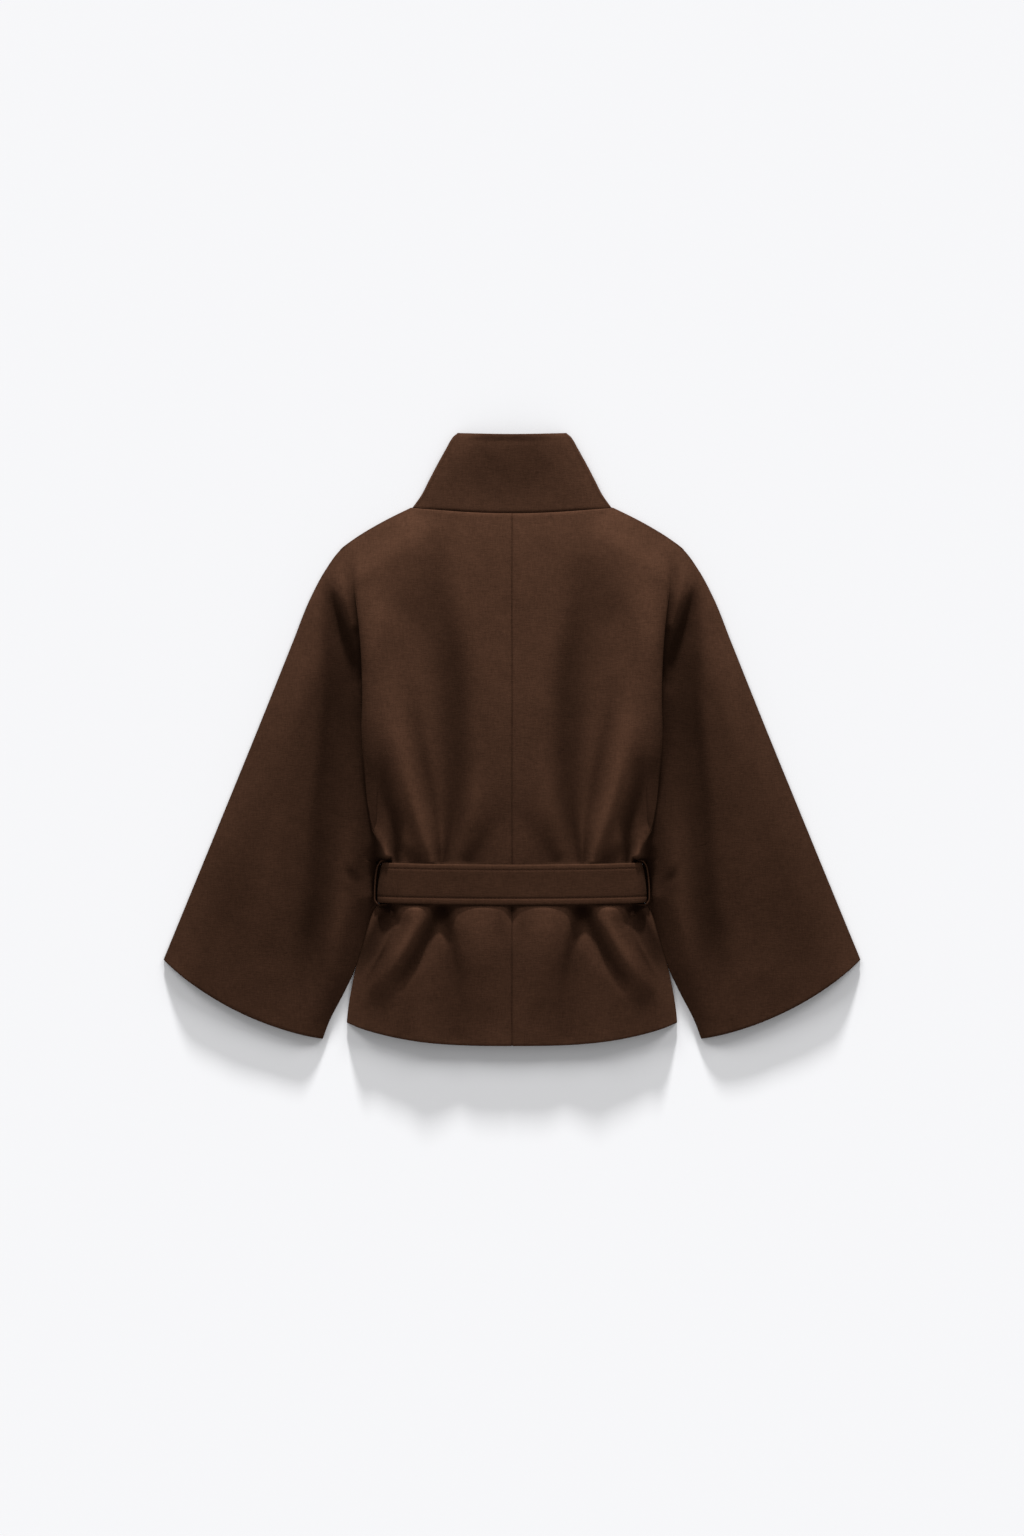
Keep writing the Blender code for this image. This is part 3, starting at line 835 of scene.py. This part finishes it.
def quads_of(index):
    """Corners of every face of a grid of point numbers."""
    corners = [index[:-1, :-1], index[:-1, 1:], index[1:, 1:], index[1:, :-1]]
    return np.stack(corners, axis=-1).reshape(-1, 4)


class Panel:
    """Half of the back or front in plan: one block above the underarm, then the body and the sleeve apart."""

    def __init__(self, fixed, neck, cols, rows, tucked):
        upper, body_rows, sleeve_rows = rows
        x, y, share, n_body, n_tuck = upper_rows(fixed, neck, cols, upper, tucked)
        body = lower_body(fixed, cols[0], body_rows)
        sleeve = lower_sleeve(cols[2], sleeve_rows)
        self.upper = np.arange(x.size).reshape(x.shape)
        low_body = x.size + np.arange(body[..., 0].size).reshape(body.shape[:2])
        low_sleeve = x.size + low_body.size + np.arange(sleeve[..., 0].size).reshape(sleeve.shape[:2])
        self.body = np.vstack([self.upper[-1:, : n_body + 1], low_body])
        self.sleeve = np.vstack([self.upper[-1:, n_body + n_tuck :], low_sleeve])
        self.tuck = self.upper[:, n_body + 1 : n_body + n_tuck]
        self.tuck_ends = self.upper[:, [n_body, n_body + n_tuck]]
        self.underarm = self.upper[-1, n_body : n_body + n_tuck + 1]
        self.quads = np.concatenate([quads_of(g) for g in (self.upper, self.body, self.sleeve)])
        self.x = np.concatenate([x.ravel(), body[..., 0].ravel(), sleeve[..., 0].ravel()])
        self.y = np.concatenate([y.ravel(), body[..., 1].ravel(), sleeve[..., 1].ravel()])
        self.share = np.concatenate([share.ravel(), np.zeros(low_body.size), np.ones(low_sleeve.size)])


def point_normals(points, quads):
    total = np.zeros_like(points)
    a, b, c, d = (points[quads[:, k]] for k in range(4))
    face = np.cross(c - a, d - b)
    for k in range(4):
        np.add.at(total, quads[:, k], -face)
    return unit(total)


def new_object(name, data):
    obj = bpy.data.objects.new(name, data)
    bpy.context.scene.collection.objects.link(obj)
    return obj


def new_piece(name, points, faces):
    """Smooth mesh object from points in millimetres."""
    mesh = bpy.data.meshes.new(name)
    mesh.from_pydata((np.asarray(points) * MM).tolist(), [], faces)
    mesh.update()
    mesh.polygons.foreach_set("use_smooth", [True] * len(mesh.polygons))
    obj = new_object(name, mesh)
    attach(obj, "root")
    return obj


def outward_at_rim(points, normals, rim):
    """Direction in which the cloth ends at each point of its rim."""
    total = np.zeros_like(points)
    a, b = rim[:, 0], rim[:, 1]
    side = unit(np.cross(normals[a], points[b] - points[a]))
    np.add.at(total, a, side)
    np.add.at(total, b, side)
    return unit(total)


def cloth(name, top, under, quads, mirror=False, roundness=None, painted_light=None):
    """Closed cloth wall with rounded edges. The quads run clockwise seen from its top face.

    roundness gives how far each edge point bulges, as a share of a half circle. The last argument is the
    colour factor of painted shade and painted light that the material reads.
    """
    count = len(top)
    ends = np.concatenate([quads[:, [k, (k + 1) % 4]] for k in range(4)])
    _, first, uses = np.unique(np.sort(ends, axis=1), axis=0, return_index=True, return_counts=True)
    rim = ends[first[uses == 1]]
    thick = np.linalg.norm(top - under, axis=1, keepdims=True)
    normals = (top - under) / thick
    middle = (top + under) / 2
    edge = np.unique(rim)
    bulge = np.full((count, 1), EDGE_ROUNDNESS) if roundness is None else roundness[:, None]
    outward = (outward_at_rim(middle, normals, rim) * thick / 2 * bulge)[edge]
    height = (normals * thick / 2)[edge]
    rings = [
        middle[edge] + outward * np.cos(turn) + height * np.sin(turn)
        for turn in np.radians(EDGE_TURNS)
    ]
    place = np.zeros(count, int)
    place[edge] = np.arange(len(edge))
    faces = [q[::-1] for q in quads.tolist()] + (quads + count).tolist()
    chain = [np.arange(count)]
    chain += [2 * count + k * len(edge) + place for k in range(len(rings))]
    chain += [np.arange(count) + count]
    a, b = rim[:, 0], rim[:, 1]
    for upper, lower in zip(chain[:-1], chain[1:]):
        faces += np.stack([upper[a], upper[b], lower[b], lower[a]], axis=1).tolist()
    points = np.concatenate([top, under] + rings)
    if mirror:
        points = points * [-1, 1, 1]
        faces = [f[::-1] for f in faces]
    obj = new_piece(name, points, faces)
    values = np.ones(count) if painted_light is None else painted_light
    values = np.concatenate([values, values] + [values[edge]] * len(rings))
    layer = obj.data.attributes.new("painted_light", "FLOAT", "POINT")
    layer.data.foreach_set("value", values.astype(np.float32))
    return obj


def ring_cloth(name, top, under, painted_light_rows, roundness=None):
    """Cloth that runs round as a band. Its rows go from its lower edge to its upper edge."""
    grid = np.arange(len(top) * len(top[0])).reshape(len(top), -1)
    quads = quads_of(grid[::-1])[:, ::-1]
    top, under, painted_light = np.concatenate(top), np.concatenate(under), np.concatenate(painted_light_rows)
    return cloth(name, top, under, quads, False, roundness, painted_light)


def build_back(name, mirror):
    """Half of the back. Its points lie closest at the seams and at the pleats by the belt."""
    fixed = np.array([CENTRE_SEAM / 2, 0.9, 1.8, 3.0])
    cols = (np.linspace(0.0, 1.0, 98)[1:], np.linspace(0.0, 1.0, 29), np.linspace(0.0, 1.0, 56))
    upper = np.concatenate([[0.0, 0.003, 0.007], np.linspace(0.012, 0.7, 88), np.linspace(0.7, 1.0, 54)[1:]])
    body_rows = np.concatenate([
        np.linspace(UNDERARM_Y, BELT_BOTTOM, 14)[1:],
        np.linspace(BELT_BOTTOM, PLEAT_END_Y, 36)[1:],
        np.linspace(PLEAT_END_Y, HEM_Y, 36)[1:],
    ])
    sleeve_rows = np.linspace(0.0, 1.0, 76)[1:]
    plan = Panel(fixed, neck_line, cols, (upper, body_rows, sleeve_rows), 1.0)
    x, y, share = plan.x, plan.y, plan.share
    body_folds = folds(x, y, BODY_FOLDS) * under_belt(y)
    sleeve_folds = folds(x, y, SLEEVE_FOLDS)
    body = body_level(x, y) + body_folds
    sleeve = column(SLEEVE_HEIGHT, 1, y) + sleeve_folds
    height = body + (sleeve - body) * share
    high, low = body[plan.tuck_ends[:, :1]], sleeve[plan.tuck_ends[:, 1:]]
    height[plan.tuck] = high + (low - high) * share[plan.tuck]
    height = height + uneven(x, y, -1 if mirror else 1)
    z = on_seams(x, y, height, share)
    z = z - GROOVE_DEPTH * bell(x, GROOVE_HALF)
    below_neck = np.where(x < NECK_POINT[0], neck_line(x) - y, np.inf)
    clear = z > LAYER + WALL + GROOVE_CLEARANCE
    z = z - GROOVE_DEPTH * bell(below_neck, GROOVE_HALF) * clear
    top = np.stack([x, y, z], axis=1)
    normals = point_normals(top, plan.quads)
    centre = np.concatenate([plan.upper[:, 0], plan.body[1:, 0]])
    neck = plan.upper[0]
    normals[centre, 0] = 0.0
    normals[neck] *= [1, 0, 1]
    seams = np.concatenate([
        neck[x[neck] > NECK_POINT[0] - 1.0],
        plan.upper[:, -1],
        plan.sleeve[:, -1],
        plan.sleeve[:, 0],
        plan.body[:, -1],
        plan.underarm,
    ])
    normals[seams] = [0, 0, 1]
    normals = unit(normals)
    roundness = np.full(len(x), EDGE_ROUNDNESS)
    roundness[centre] = 0.0
    roundness[neck[x[neck] < NECK_POINT[0]]] = 0.0
    # Painted shade and painted light in the colour: darker in valleys, beside the body's edge, in the listed
    # shade patches, at the centre seam and towards the hem, lighter on ridges
    from_edge = distance(x, y, EDGE_LINE)
    beside = column(BODY_EDGE, 3, y)
    body_shade = body_folds + folds(x, y, BODY_SHADES) - beside * fading(from_edge, *TUCK_SHADE_BODY)
    sleeve_shade = sleeve_folds + folds(x, y, SLEEVE_SHADES) - beside * fading(from_edge, *TUCK_SHADE)
    shade = body_shade + (sleeve_shade - body_shade) * share
    tone = column(PAINTED_LIGHT_FALLOFF, 1, y) * (1 - share) + column(PAINTED_LIGHT_FALLOFF, 2, y) * share
    tone *= 1.0 - SEAM_SHADE * bell(x, SEAM_SHADE_REACH)
    painted_light = np.clip(tone * np.exp(PAINTED_SHADE_PER_MM * shade), *PAINTED_LIGHT_LIMITS)
    return cloth(name, top, top - normals * WALL, plan.quads, mirror, roundness, painted_light)


def build_front(name, mirror, lift):
    """Half of the front, flat but where it lies over the belt. The lift takes it over the other half."""
    fixed = np.array([-FRONT_OVERLAP, -10.0, 10.0, FRONT_OVERLAP + 2.0, LAP_END])
    cols = (
        np.array([0.15, 0.296, 0.42, 0.545, 0.65, 0.76, 0.88, 1.0]),
        np.array([0.0, 0.5, 1.0]),
        np.linspace(0.0, 1.0, 12),
    )
    upper = np.concatenate([[0.0, 0.02, 0.05], np.linspace(0.1, 1.0, 26)])
    body_rows = np.concatenate([
        [-150.0, -160.0, -171.0, -183.0, -191.0],
        np.linspace(-194.0, -212.0, 13),
        np.linspace(-216.0, HEM_Y, 30),
    ])
    sleeve_rows = np.linspace(0.0, 1.0, 50)[1:]
    plan = Panel(fixed, front_neck_line, cols, (upper, body_rows, sleeve_rows), 0.0)
    over = lift * smooth((LAP_END - plan.x) / LAP_FADE)
    under = np.stack([plan.x, plan.y, ground(plan.x, plan.y) + over], axis=1)
    return cloth(name, under + [0, 0, WALL], under, plan.quads, mirror)


def path_normals(points):
    """Unit vectors square to a path, on its right."""
    steps = unit(np.diff(points, axis=0))
    both = unit(np.vstack([steps[:1], steps[:-1] + steps[1:], steps[-1:]]))
    return np.stack([both[:, 1], -both[:, 0]], axis=1)


def lapped(first, lift):
    """Upper end of a ring: from the first places on the surface up over the lower end, x and z."""
    return [(x, lift * smooth((x + LAP_END) / LAP_FADE)) for x in first + LAP_STEPS + [0.0, FRONT_OVERLAP]]


def mirrored(path):
    """The same path on the other side, run back to front."""
    return [(-x, z) for x, z in path[::-1]]


def collar_path(half, side, crown):
    """Outer face of the collar: x and z from its lower end, round over the top, to its upper end."""
    turn = np.linspace(-90.0, 90.0, COLLAR_FOLD_POINTS + 2)[1:-1] * np.pi / 180
    across = np.linspace(1.0, -1.0, 81)
    drop = side * COLLAR_FOLD_SHARE
    flat = half - drop
    knot = FRONT_NECK[1][0] * half / NECK_POINT[0]
    low = [(x, 0.0) for x in (-FRONT_OVERLAP, 0.0, FRONT_NECK[0][0], knot, flat)]
    fold_over = [(flat + drop * np.cos(a), side / 2 + side / 2 * np.sin(a)) for a in turn]
    over = [(flat * f, side + (crown - side) * (1 - abs(f) ** COLLAR_CROWN_POWER)) for f in across]
    raised = lapped([-flat, -knot], LAYER)
    return np.array(low + fold_over + over + mirrored(fold_over) + raised), len(low), len(raised)


def build_collar():
    """Tube pressed flat. Its back reaches to the middle of the fold on either side."""
    shares = np.concatenate([[0.0, 0.01, 0.02, 0.035], np.linspace(0.06, 1.0, 50)])
    sections = np.asarray(COLLAR_SECTIONS)
    top, under, painted_light_rows = [], [], []
    for v in shares:
        half = float(curve(sections[:, 0], sections[:, 1], v))
        side = float(curve(sections[:, 0], sections[:, 2], v))
        crown = COLLAR_CROWN_SEAM + (COLLAR_CROWN_TOP - COLLAR_CROWN_SEAM) * v
        path, low, raised = collar_path(half, side, crown)
        f = np.clip(path[:, 0] / half, -1.0, 1.0)
        order = np.arange(len(path))
        half_fold = COLLAR_FOLD_POINTS // 2
        back = (order >= low + half_fold) & (order < len(path) - raised - half_fold)
        press = GROOVE_DEPTH * bell(v * COLLAR_HEIGHT, GROOVE_HALF)
        darker = 0.0
        for depth, across, power, middle, reach, shade in COLLAR_HOLLOWS:
            hollow = np.exp(-((f / across) ** power)) * bell(v - middle, reach)
            press = press + depth * hollow
            darker = darker + shade * hollow
        path[:, 1] -= press * back * (1 - f**6)
        # Painted shade: the collar a little darker overall, and more in its hollows
        painted_light_rows.append(COLLAR_PAINTED_SHADE - back * darker)
        inner = path - path_normals(path) * WALL
        seam = np.where(back, neck_line(f * NECK_POINT[0]), front_neck_line(f * NECK_POINT[0])) + SEAM / 2
        front_top = COLLAR_FRONT_TOP + (COLLAR_TOP - COLLAR_FRONT_TOP) * np.abs(f) ** COLLAR_FRONT_POWER
        back_top = COLLAR_TOP - COLLAR_TOP_DIP * (1 - f**2)
        y = seam + (np.where(back, back_top, front_top) - seam) * v
        top.append(placed(path, y))
        under.append(placed(inner, y))
    roundness = np.full((len(top), len(top[0])), EDGE_ROUNDNESS)
    roundness[0] = 0.0
    return ring_cloth("collar_cloth", top, under, painted_light_rows, roundness.ravel())


def belt_rest(x):
    """Lowest height at which a taut belt clears the back and its unevenness at each place."""
    bridge = np.linspace(-BELT_BRIDGE, BELT_BRIDGE, 7)
    near = np.clip(x[:, None] + bridge, -WAIST_HALF, WAIST_HALF)
    tops = []
    for row in np.linspace(*BELT_COVER_Y, 9):
        y = np.full(near.shape, row)
        height = body_level(near, y) + folds(near, y, BODY_FOLDS) * under_belt(y) + UNEVEN_ROOM
        tops.append(on_seams(np.abs(near), y, height, 0.0).max(axis=1))
    over = np.max(tops, axis=0) + BELT_GAP
    for _ in range(TAUT_ROUNDS):
        over[1:-1] = np.maximum(over[1:-1], (over[:-2] + over[2:]) / 2)
    return over


def belt_path(end, x_over, over, turn):
    """Outer face of the belt at one height of its width: x and z from its lower to its upper end."""
    foot = WAIST_HALF + 1.0
    middle = over[0] * BELT_FOLD_SHARE
    flat = [(x, 0.0) for x in np.linspace(-FRONT_OVERLAP, BELT_FLAT_X, 12)]
    side = [(foot + (end - foot) * np.sin(a), middle * (1 - np.cos(a))) for a in turn]
    side += [
        (BELT_BEND_X + (end - BELT_BEND_X) * np.cos(a), middle + (over[0] - middle) * np.sin(a))
        for a in turn[1:-1]
    ]
    raised = lapped([-BELT_FLAT_X, -80.0], BELT_LAYER)
    return np.array(flat + side + list(zip(x_over, over)) + mirrored(side) + raised)


def belt_points(v, shape):
    """Outer and inner face of the belt at a share of its width from the lower edge, and its outward way."""
    end = BELT_END_BOTTOM + (BELT_END_TOP - BELT_END_BOTTOM) * v**BELT_END_POWER
    path = belt_path(end, *shape)
    sag = BELT_SAG * (1 - (path[:, 0] / end) ** 2)
    y = BELT_BOTTOM + BELT_WIDTH * v - sag
    outer = placed(path, y)
    inner = placed(path - path_normals(path) * BELT_WALL, y)
    return outer, inner, unit(outer - inner)


def build_belt(seams, shape):
    """Belt round the waist. Its points lie closest at the grooves of its two lines of stitches."""
    low, high = seams
    near = np.array([-1.2, -0.6, 0.0, 0.6, 1.2]) / BELT_WIDTH
    top, under, painted_light_rows = [], [], []
    for v in np.sort(np.concatenate([np.linspace(0.0, 1.0, 25), low + near, high + near])):
        outer, inner, way = belt_points(v, shape)
        groove = sum(bell((v - s) * BELT_WIDTH, BELT_GROOVE_HALF) for s in seams)
        puff = BELT_PUFF * (1 - abs(2 * v - 1) ** 6)
        top.append(outer + way * (puff - BELT_GROOVE_DEPTH * groove - BELT_PUFF))
        under.append(inner)
        # Painted light outside the stitching, painted shade inside each line of stitches and at the belt's
        # ends
        tone = 1.0 + BELT_MARGIN_LIGHT
        if low <= v <= high:
            below_high = fading((high - v) * BELT_WIDTH, *BELT_HIGH_SHADE)
            tone = 1.0 - below_high - fading((v - low) * BELT_WIDTH, *BELT_LOW_SHADE)
        from_end = np.abs(outer[:, 0]).max() - np.abs(outer[:, 0])
        painted_light_rows.append(tone * (1.0 - fading(from_end, *BELT_END_SHADE)))
    return ring_cloth("belt_cloth", top, under, painted_light_rows)


def build_stitches(seams, shape):
    """Row of short stitches along both edges of the belt, as one mesh."""
    around = np.linspace(0.0, 2.0 * np.pi, STITCH_SIDES, endpoint=False)
    count = len(STITCH_RADII)
    points, faces = [], []
    for v in seams:
        outer, _, way = belt_points(v, shape)
        line = outer - way * STITCH_SINK
        lengths = lengths_to(line)
        for start in np.arange(STITCH_START, lengths[-1] - STITCH_START, STITCH_PITCH):
            at = start + STITCH_LENGTH * np.linspace(0.0, 1.0, count)
            spine = np.stack([np.interp(at, lengths, line[:, k]) for k in range(3)], axis=1)
            up = np.stack([np.interp(at, lengths, way[:, k]) for k in range(3)], axis=1)
            spine += up * (STITCH_ARCH * np.sin(np.linspace(0.0, np.pi, count)))[:, None]
            ahead = spine[-1] - spine[0]
            across = np.cross(ahead / np.linalg.norm(ahead), up)
            rings = len(points) + np.arange(count * STITCH_SIDES).reshape(count, STITCH_SIDES)
            faces += quads_of(np.hstack([rings, rings[:, :1]])).tolist()
            faces += [rings[0, ::-1].tolist(), rings[-1].tolist()]
            for p, u, w, r in zip(spine, up, across, STITCH_RADII):
                points += [p + (u * np.sin(a) + w * np.cos(a)) * r for a in around]
    return new_piece("belt_stitches", points, faces)


def build_loop(name, mirror):
    """Thin strip sewn to the side seam above and below the belt."""
    rows = 7
    line = along(LOOP_LINE, np.linspace(0.0, 1.0, 60))
    side = path_normals(line) * LOOP_WALL / 2
    heights = np.repeat(np.linspace(LOOP_LOW, LOOP_HIGH, rows), len(line))[:, None]
    top = np.hstack([np.tile(line - side, (rows, 1)), heights])
    under = np.hstack([np.tile(line + side, (rows, 1)), heights])
    return cloth(name, top, under, quads_of(np.arange(len(top)).reshape(rows, -1)), mirror)


def socket(node, name, value):
    """Sets a socket to a number or links another node's output to it."""
    if isinstance(value, bpy.types.NodeSocket):
        node.id_data.links.new(value, node.inputs[name])
    else:
        node.inputs[name].default_value = value


def add_noise(nodes, place, scale, detail, stretch):
    mapping = nodes.new("ShaderNodeMapping")
    socket(mapping, "Vector", place)
    socket(mapping, "Scale", stretch)
    texture = nodes.new("ShaderNodeTexNoise")
    socket(texture, "Vector", mapping.outputs["Vector"])
    socket(texture, "Scale", scale)
    socket(texture, "Detail", detail)
    return texture.outputs["Fac"]


def add_math(nodes, kind, *values):
    node = nodes.new("ShaderNodeMath")
    node.operation = kind
    for i, value in enumerate(values):
        socket(node, i, value)
    return node.outputs[0]


def textile(name, colour, layers, raised, roughness, reads_painted_light):
    """Cloth or thread. Layers of noise tint the colour, and the raised ones also give the bump.

    With the last argument set, its colour is also multiplied by the painted shade and painted light that each
    point of the mesh carries.
    """
    material = bpy.data.materials.new(name)
    material.use_nodes = True
    nodes = material.node_tree.nodes
    shader = nodes["Principled BSDF"]
    place = nodes.new("ShaderNodeTexCoord").outputs["Object"]
    tone = 1.0 - sum(weight for *_, weight in layers.values()) / 2
    found = {}
    for layer, (scale, detail, stretch, weight) in layers.items():
        found[layer] = add_noise(nodes, place, scale, detail, stretch)
        tone = add_math(nodes, "MULTIPLY_ADD", found[layer], weight, tone)
    if reads_painted_light:
        # Painted shade and painted light: the colour is multiplied by the factor stored at each point
        painted_light = nodes.new("ShaderNodeAttribute")
        painted_light.attribute_name = "painted_light"
        tone = add_math(nodes, "MULTIPLY", tone, painted_light.outputs["Fac"])
    base = nodes.new("ShaderNodeMix")
    base.data_type = "RGBA"
    base.blend_type = "MULTIPLY"
    base.inputs["Factor"].default_value = 1.0
    base.inputs["A"].default_value = (*colour, 1.0)
    socket(base, "B", tone)
    socket(shader, "Base Color", base.outputs["Result"])
    shader.inputs["Roughness"].default_value = roughness
    shader.inputs["IOR"].default_value = 1.1
    shader.inputs["Specular IOR Level"].default_value = 0.04
    shader.inputs["Sheen Weight"].default_value = 0.03
    shader.inputs["Sheen Roughness"].default_value = 0.5
    shader.inputs["Sheen Tint"].default_value = (0.75, 0.42, 0.27, 1.0)
    height = 0.0
    for layer in raised:
        height = add_math(nodes, "ADD", found[layer], height)
    bump = nodes.new("ShaderNodeBump")
    socket(bump, "Strength", 0.3)
    socket(bump, "Distance", 0.0005)
    socket(bump, "Height", height)
    socket(shader, "Normal", bump.outputs["Normal"])
    return material


def wool(name, colour):
    """Brushed wool: a fine close weave under a short pile, with painted shade and painted light from each
    point of the mesh.
    """
    return textile(name, colour, WOOL_LAYERS, ("weft", "warp", "speckle"), 0.95, True)


def thread(name, colour):
    """Sewing thread: twisted strands with fine loose fibres."""
    return textile(name, colour, THREAD_LAYERS, ("strands", "fibres"), 0.7, False)


def plain_floor(name, colour):
    material = bpy.data.materials.new(name)
    material.use_nodes = True
    shader = material.node_tree.nodes["Principled BSDF"]
    shader.inputs["Base Color"].default_value = (*colour, 1.0)
    shader.inputs["Roughness"].default_value = 1.0
    shader.inputs["Specular IOR Level"].default_value = 0.05
    return material


# Belt shape, shared by the belt and its stitches
belt_x = np.linspace(BELT_BEND_X, -BELT_BEND_X, 121)
belt_shape = (belt_x, belt_rest(belt_x) + BELT_WALL, np.linspace(0.0, 90.0, 13) * np.pi / 180)
belt_seams = (STITCH_INSET_BOTTOM / BELT_WIDTH, 1.0 - STITCH_INSET_TOP / BELT_WIDTH)

# Pieces
back_right = build_back("back_right_cloth", False)
back_left = build_back("back_left_cloth", True)
front_right = build_front("front_right_cloth", False, 0.0)
front_left = build_front("front_left_cloth", True, LAYER)
collar = build_collar()
belt = build_belt(belt_seams, belt_shape)
stitches = build_stitches(belt_seams, belt_shape)
loop_right = build_loop("belt_loop_right_cloth", False)
loop_left = build_loop("belt_loop_left_cloth", True)

body_wool = wool("brown_wool", (0.0535, 0.0252, 0.0149))
belt_wool = wool("belt_wool", (0.0373, 0.0175, 0.0102))
brown_thread = thread("brown_thread", (0.05, 0.022, 0.013))
for obj, material, slot in (
    (back_right, body_wool, "wool"),
    (back_left, body_wool, "wool"),
    (front_right, body_wool, "wool"),
    (front_left, body_wool, "wool"),
    (collar, body_wool, "wool"),
    (belt, belt_wool, "belt_wool"),
    (loop_right, belt_wool, "belt_wool"),
    (loop_left, belt_wool, "belt_wool"),
    (stitches, brown_thread, "belt_wool"),
):
    obj.data.materials.append(material)

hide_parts("back_right")
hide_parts("back_left")
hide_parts("front_right")
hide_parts("front_left")
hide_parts("collar")
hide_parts("belt")
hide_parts("belt_loop_right")
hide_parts("belt_loop_left")

# Floor, a little below the fronts so that no two faces share a plane
bpy.ops.mesh.primitive_plane_add(size=12.0, location=(0, 0, -0.0002))
floor = bpy.context.object
floor.name = "floor"
floor.data.materials.append(plain_floor("pale_floor", (0.866, 0.868, 0.884)))


def sun(name, azimuth, elevation, angle, strength):
    """Sun above the collar side. Its azimuth is counted from +Y towards +X, in degrees."""
    data = bpy.data.lights.new(name, "SUN")
    data.angle = np.radians(angle)
    data.energy = strength
    obj = new_object(name, data)
    turn, lift = np.radians(azimuth), np.radians(elevation)
    toward = Vector((np.sin(turn) * np.cos(lift), np.cos(turn) * np.cos(lift), np.sin(lift)))
    obj.rotation_mode = "QUATERNION"
    obj.rotation_quaternion = (-toward).to_track_quat("-Z", "Y")


# Light: soft from above the collar, low enough for the short shadow below the hem
sun("key_right", 35.0, 27.0, 21.0, 1.09)
sun("key_left", -35.0, 27.0, 21.0, 1.09)
sun("low_top", 0.0, 11.0, 5.0, 5.9)
world = bpy.data.worlds.new("studio")
world.use_nodes = True
world.node_tree.nodes["Background"].inputs["Color"].default_value = (1.0, 1.0, 1.0, 1.0)
world.node_tree.nodes["Background"].inputs["Strength"].default_value = 0.40
bpy.context.scene.world = world
bpy.context.scene.view_settings.view_transform = "Standard"

# Camera straight above, framed as the photo
CAMERA_HEIGHT_M = 4.5
FRAME_HEIGHT_M = 1.8432
FRAME_MIDDLE_Y_M = -0.0342
camera_data = bpy.data.cameras.new("camera")
camera_data.sensor_width = 36.0
camera_data.lens = 36.0 * CAMERA_HEIGHT_M / FRAME_HEIGHT_M
camera_data.clip_end = 50.0
camera = new_object("camera", camera_data)
camera.location = (0.0, FRAME_MIDDLE_Y_M, CAMERA_HEIGHT_M)
bpy.context.scene.camera = camera
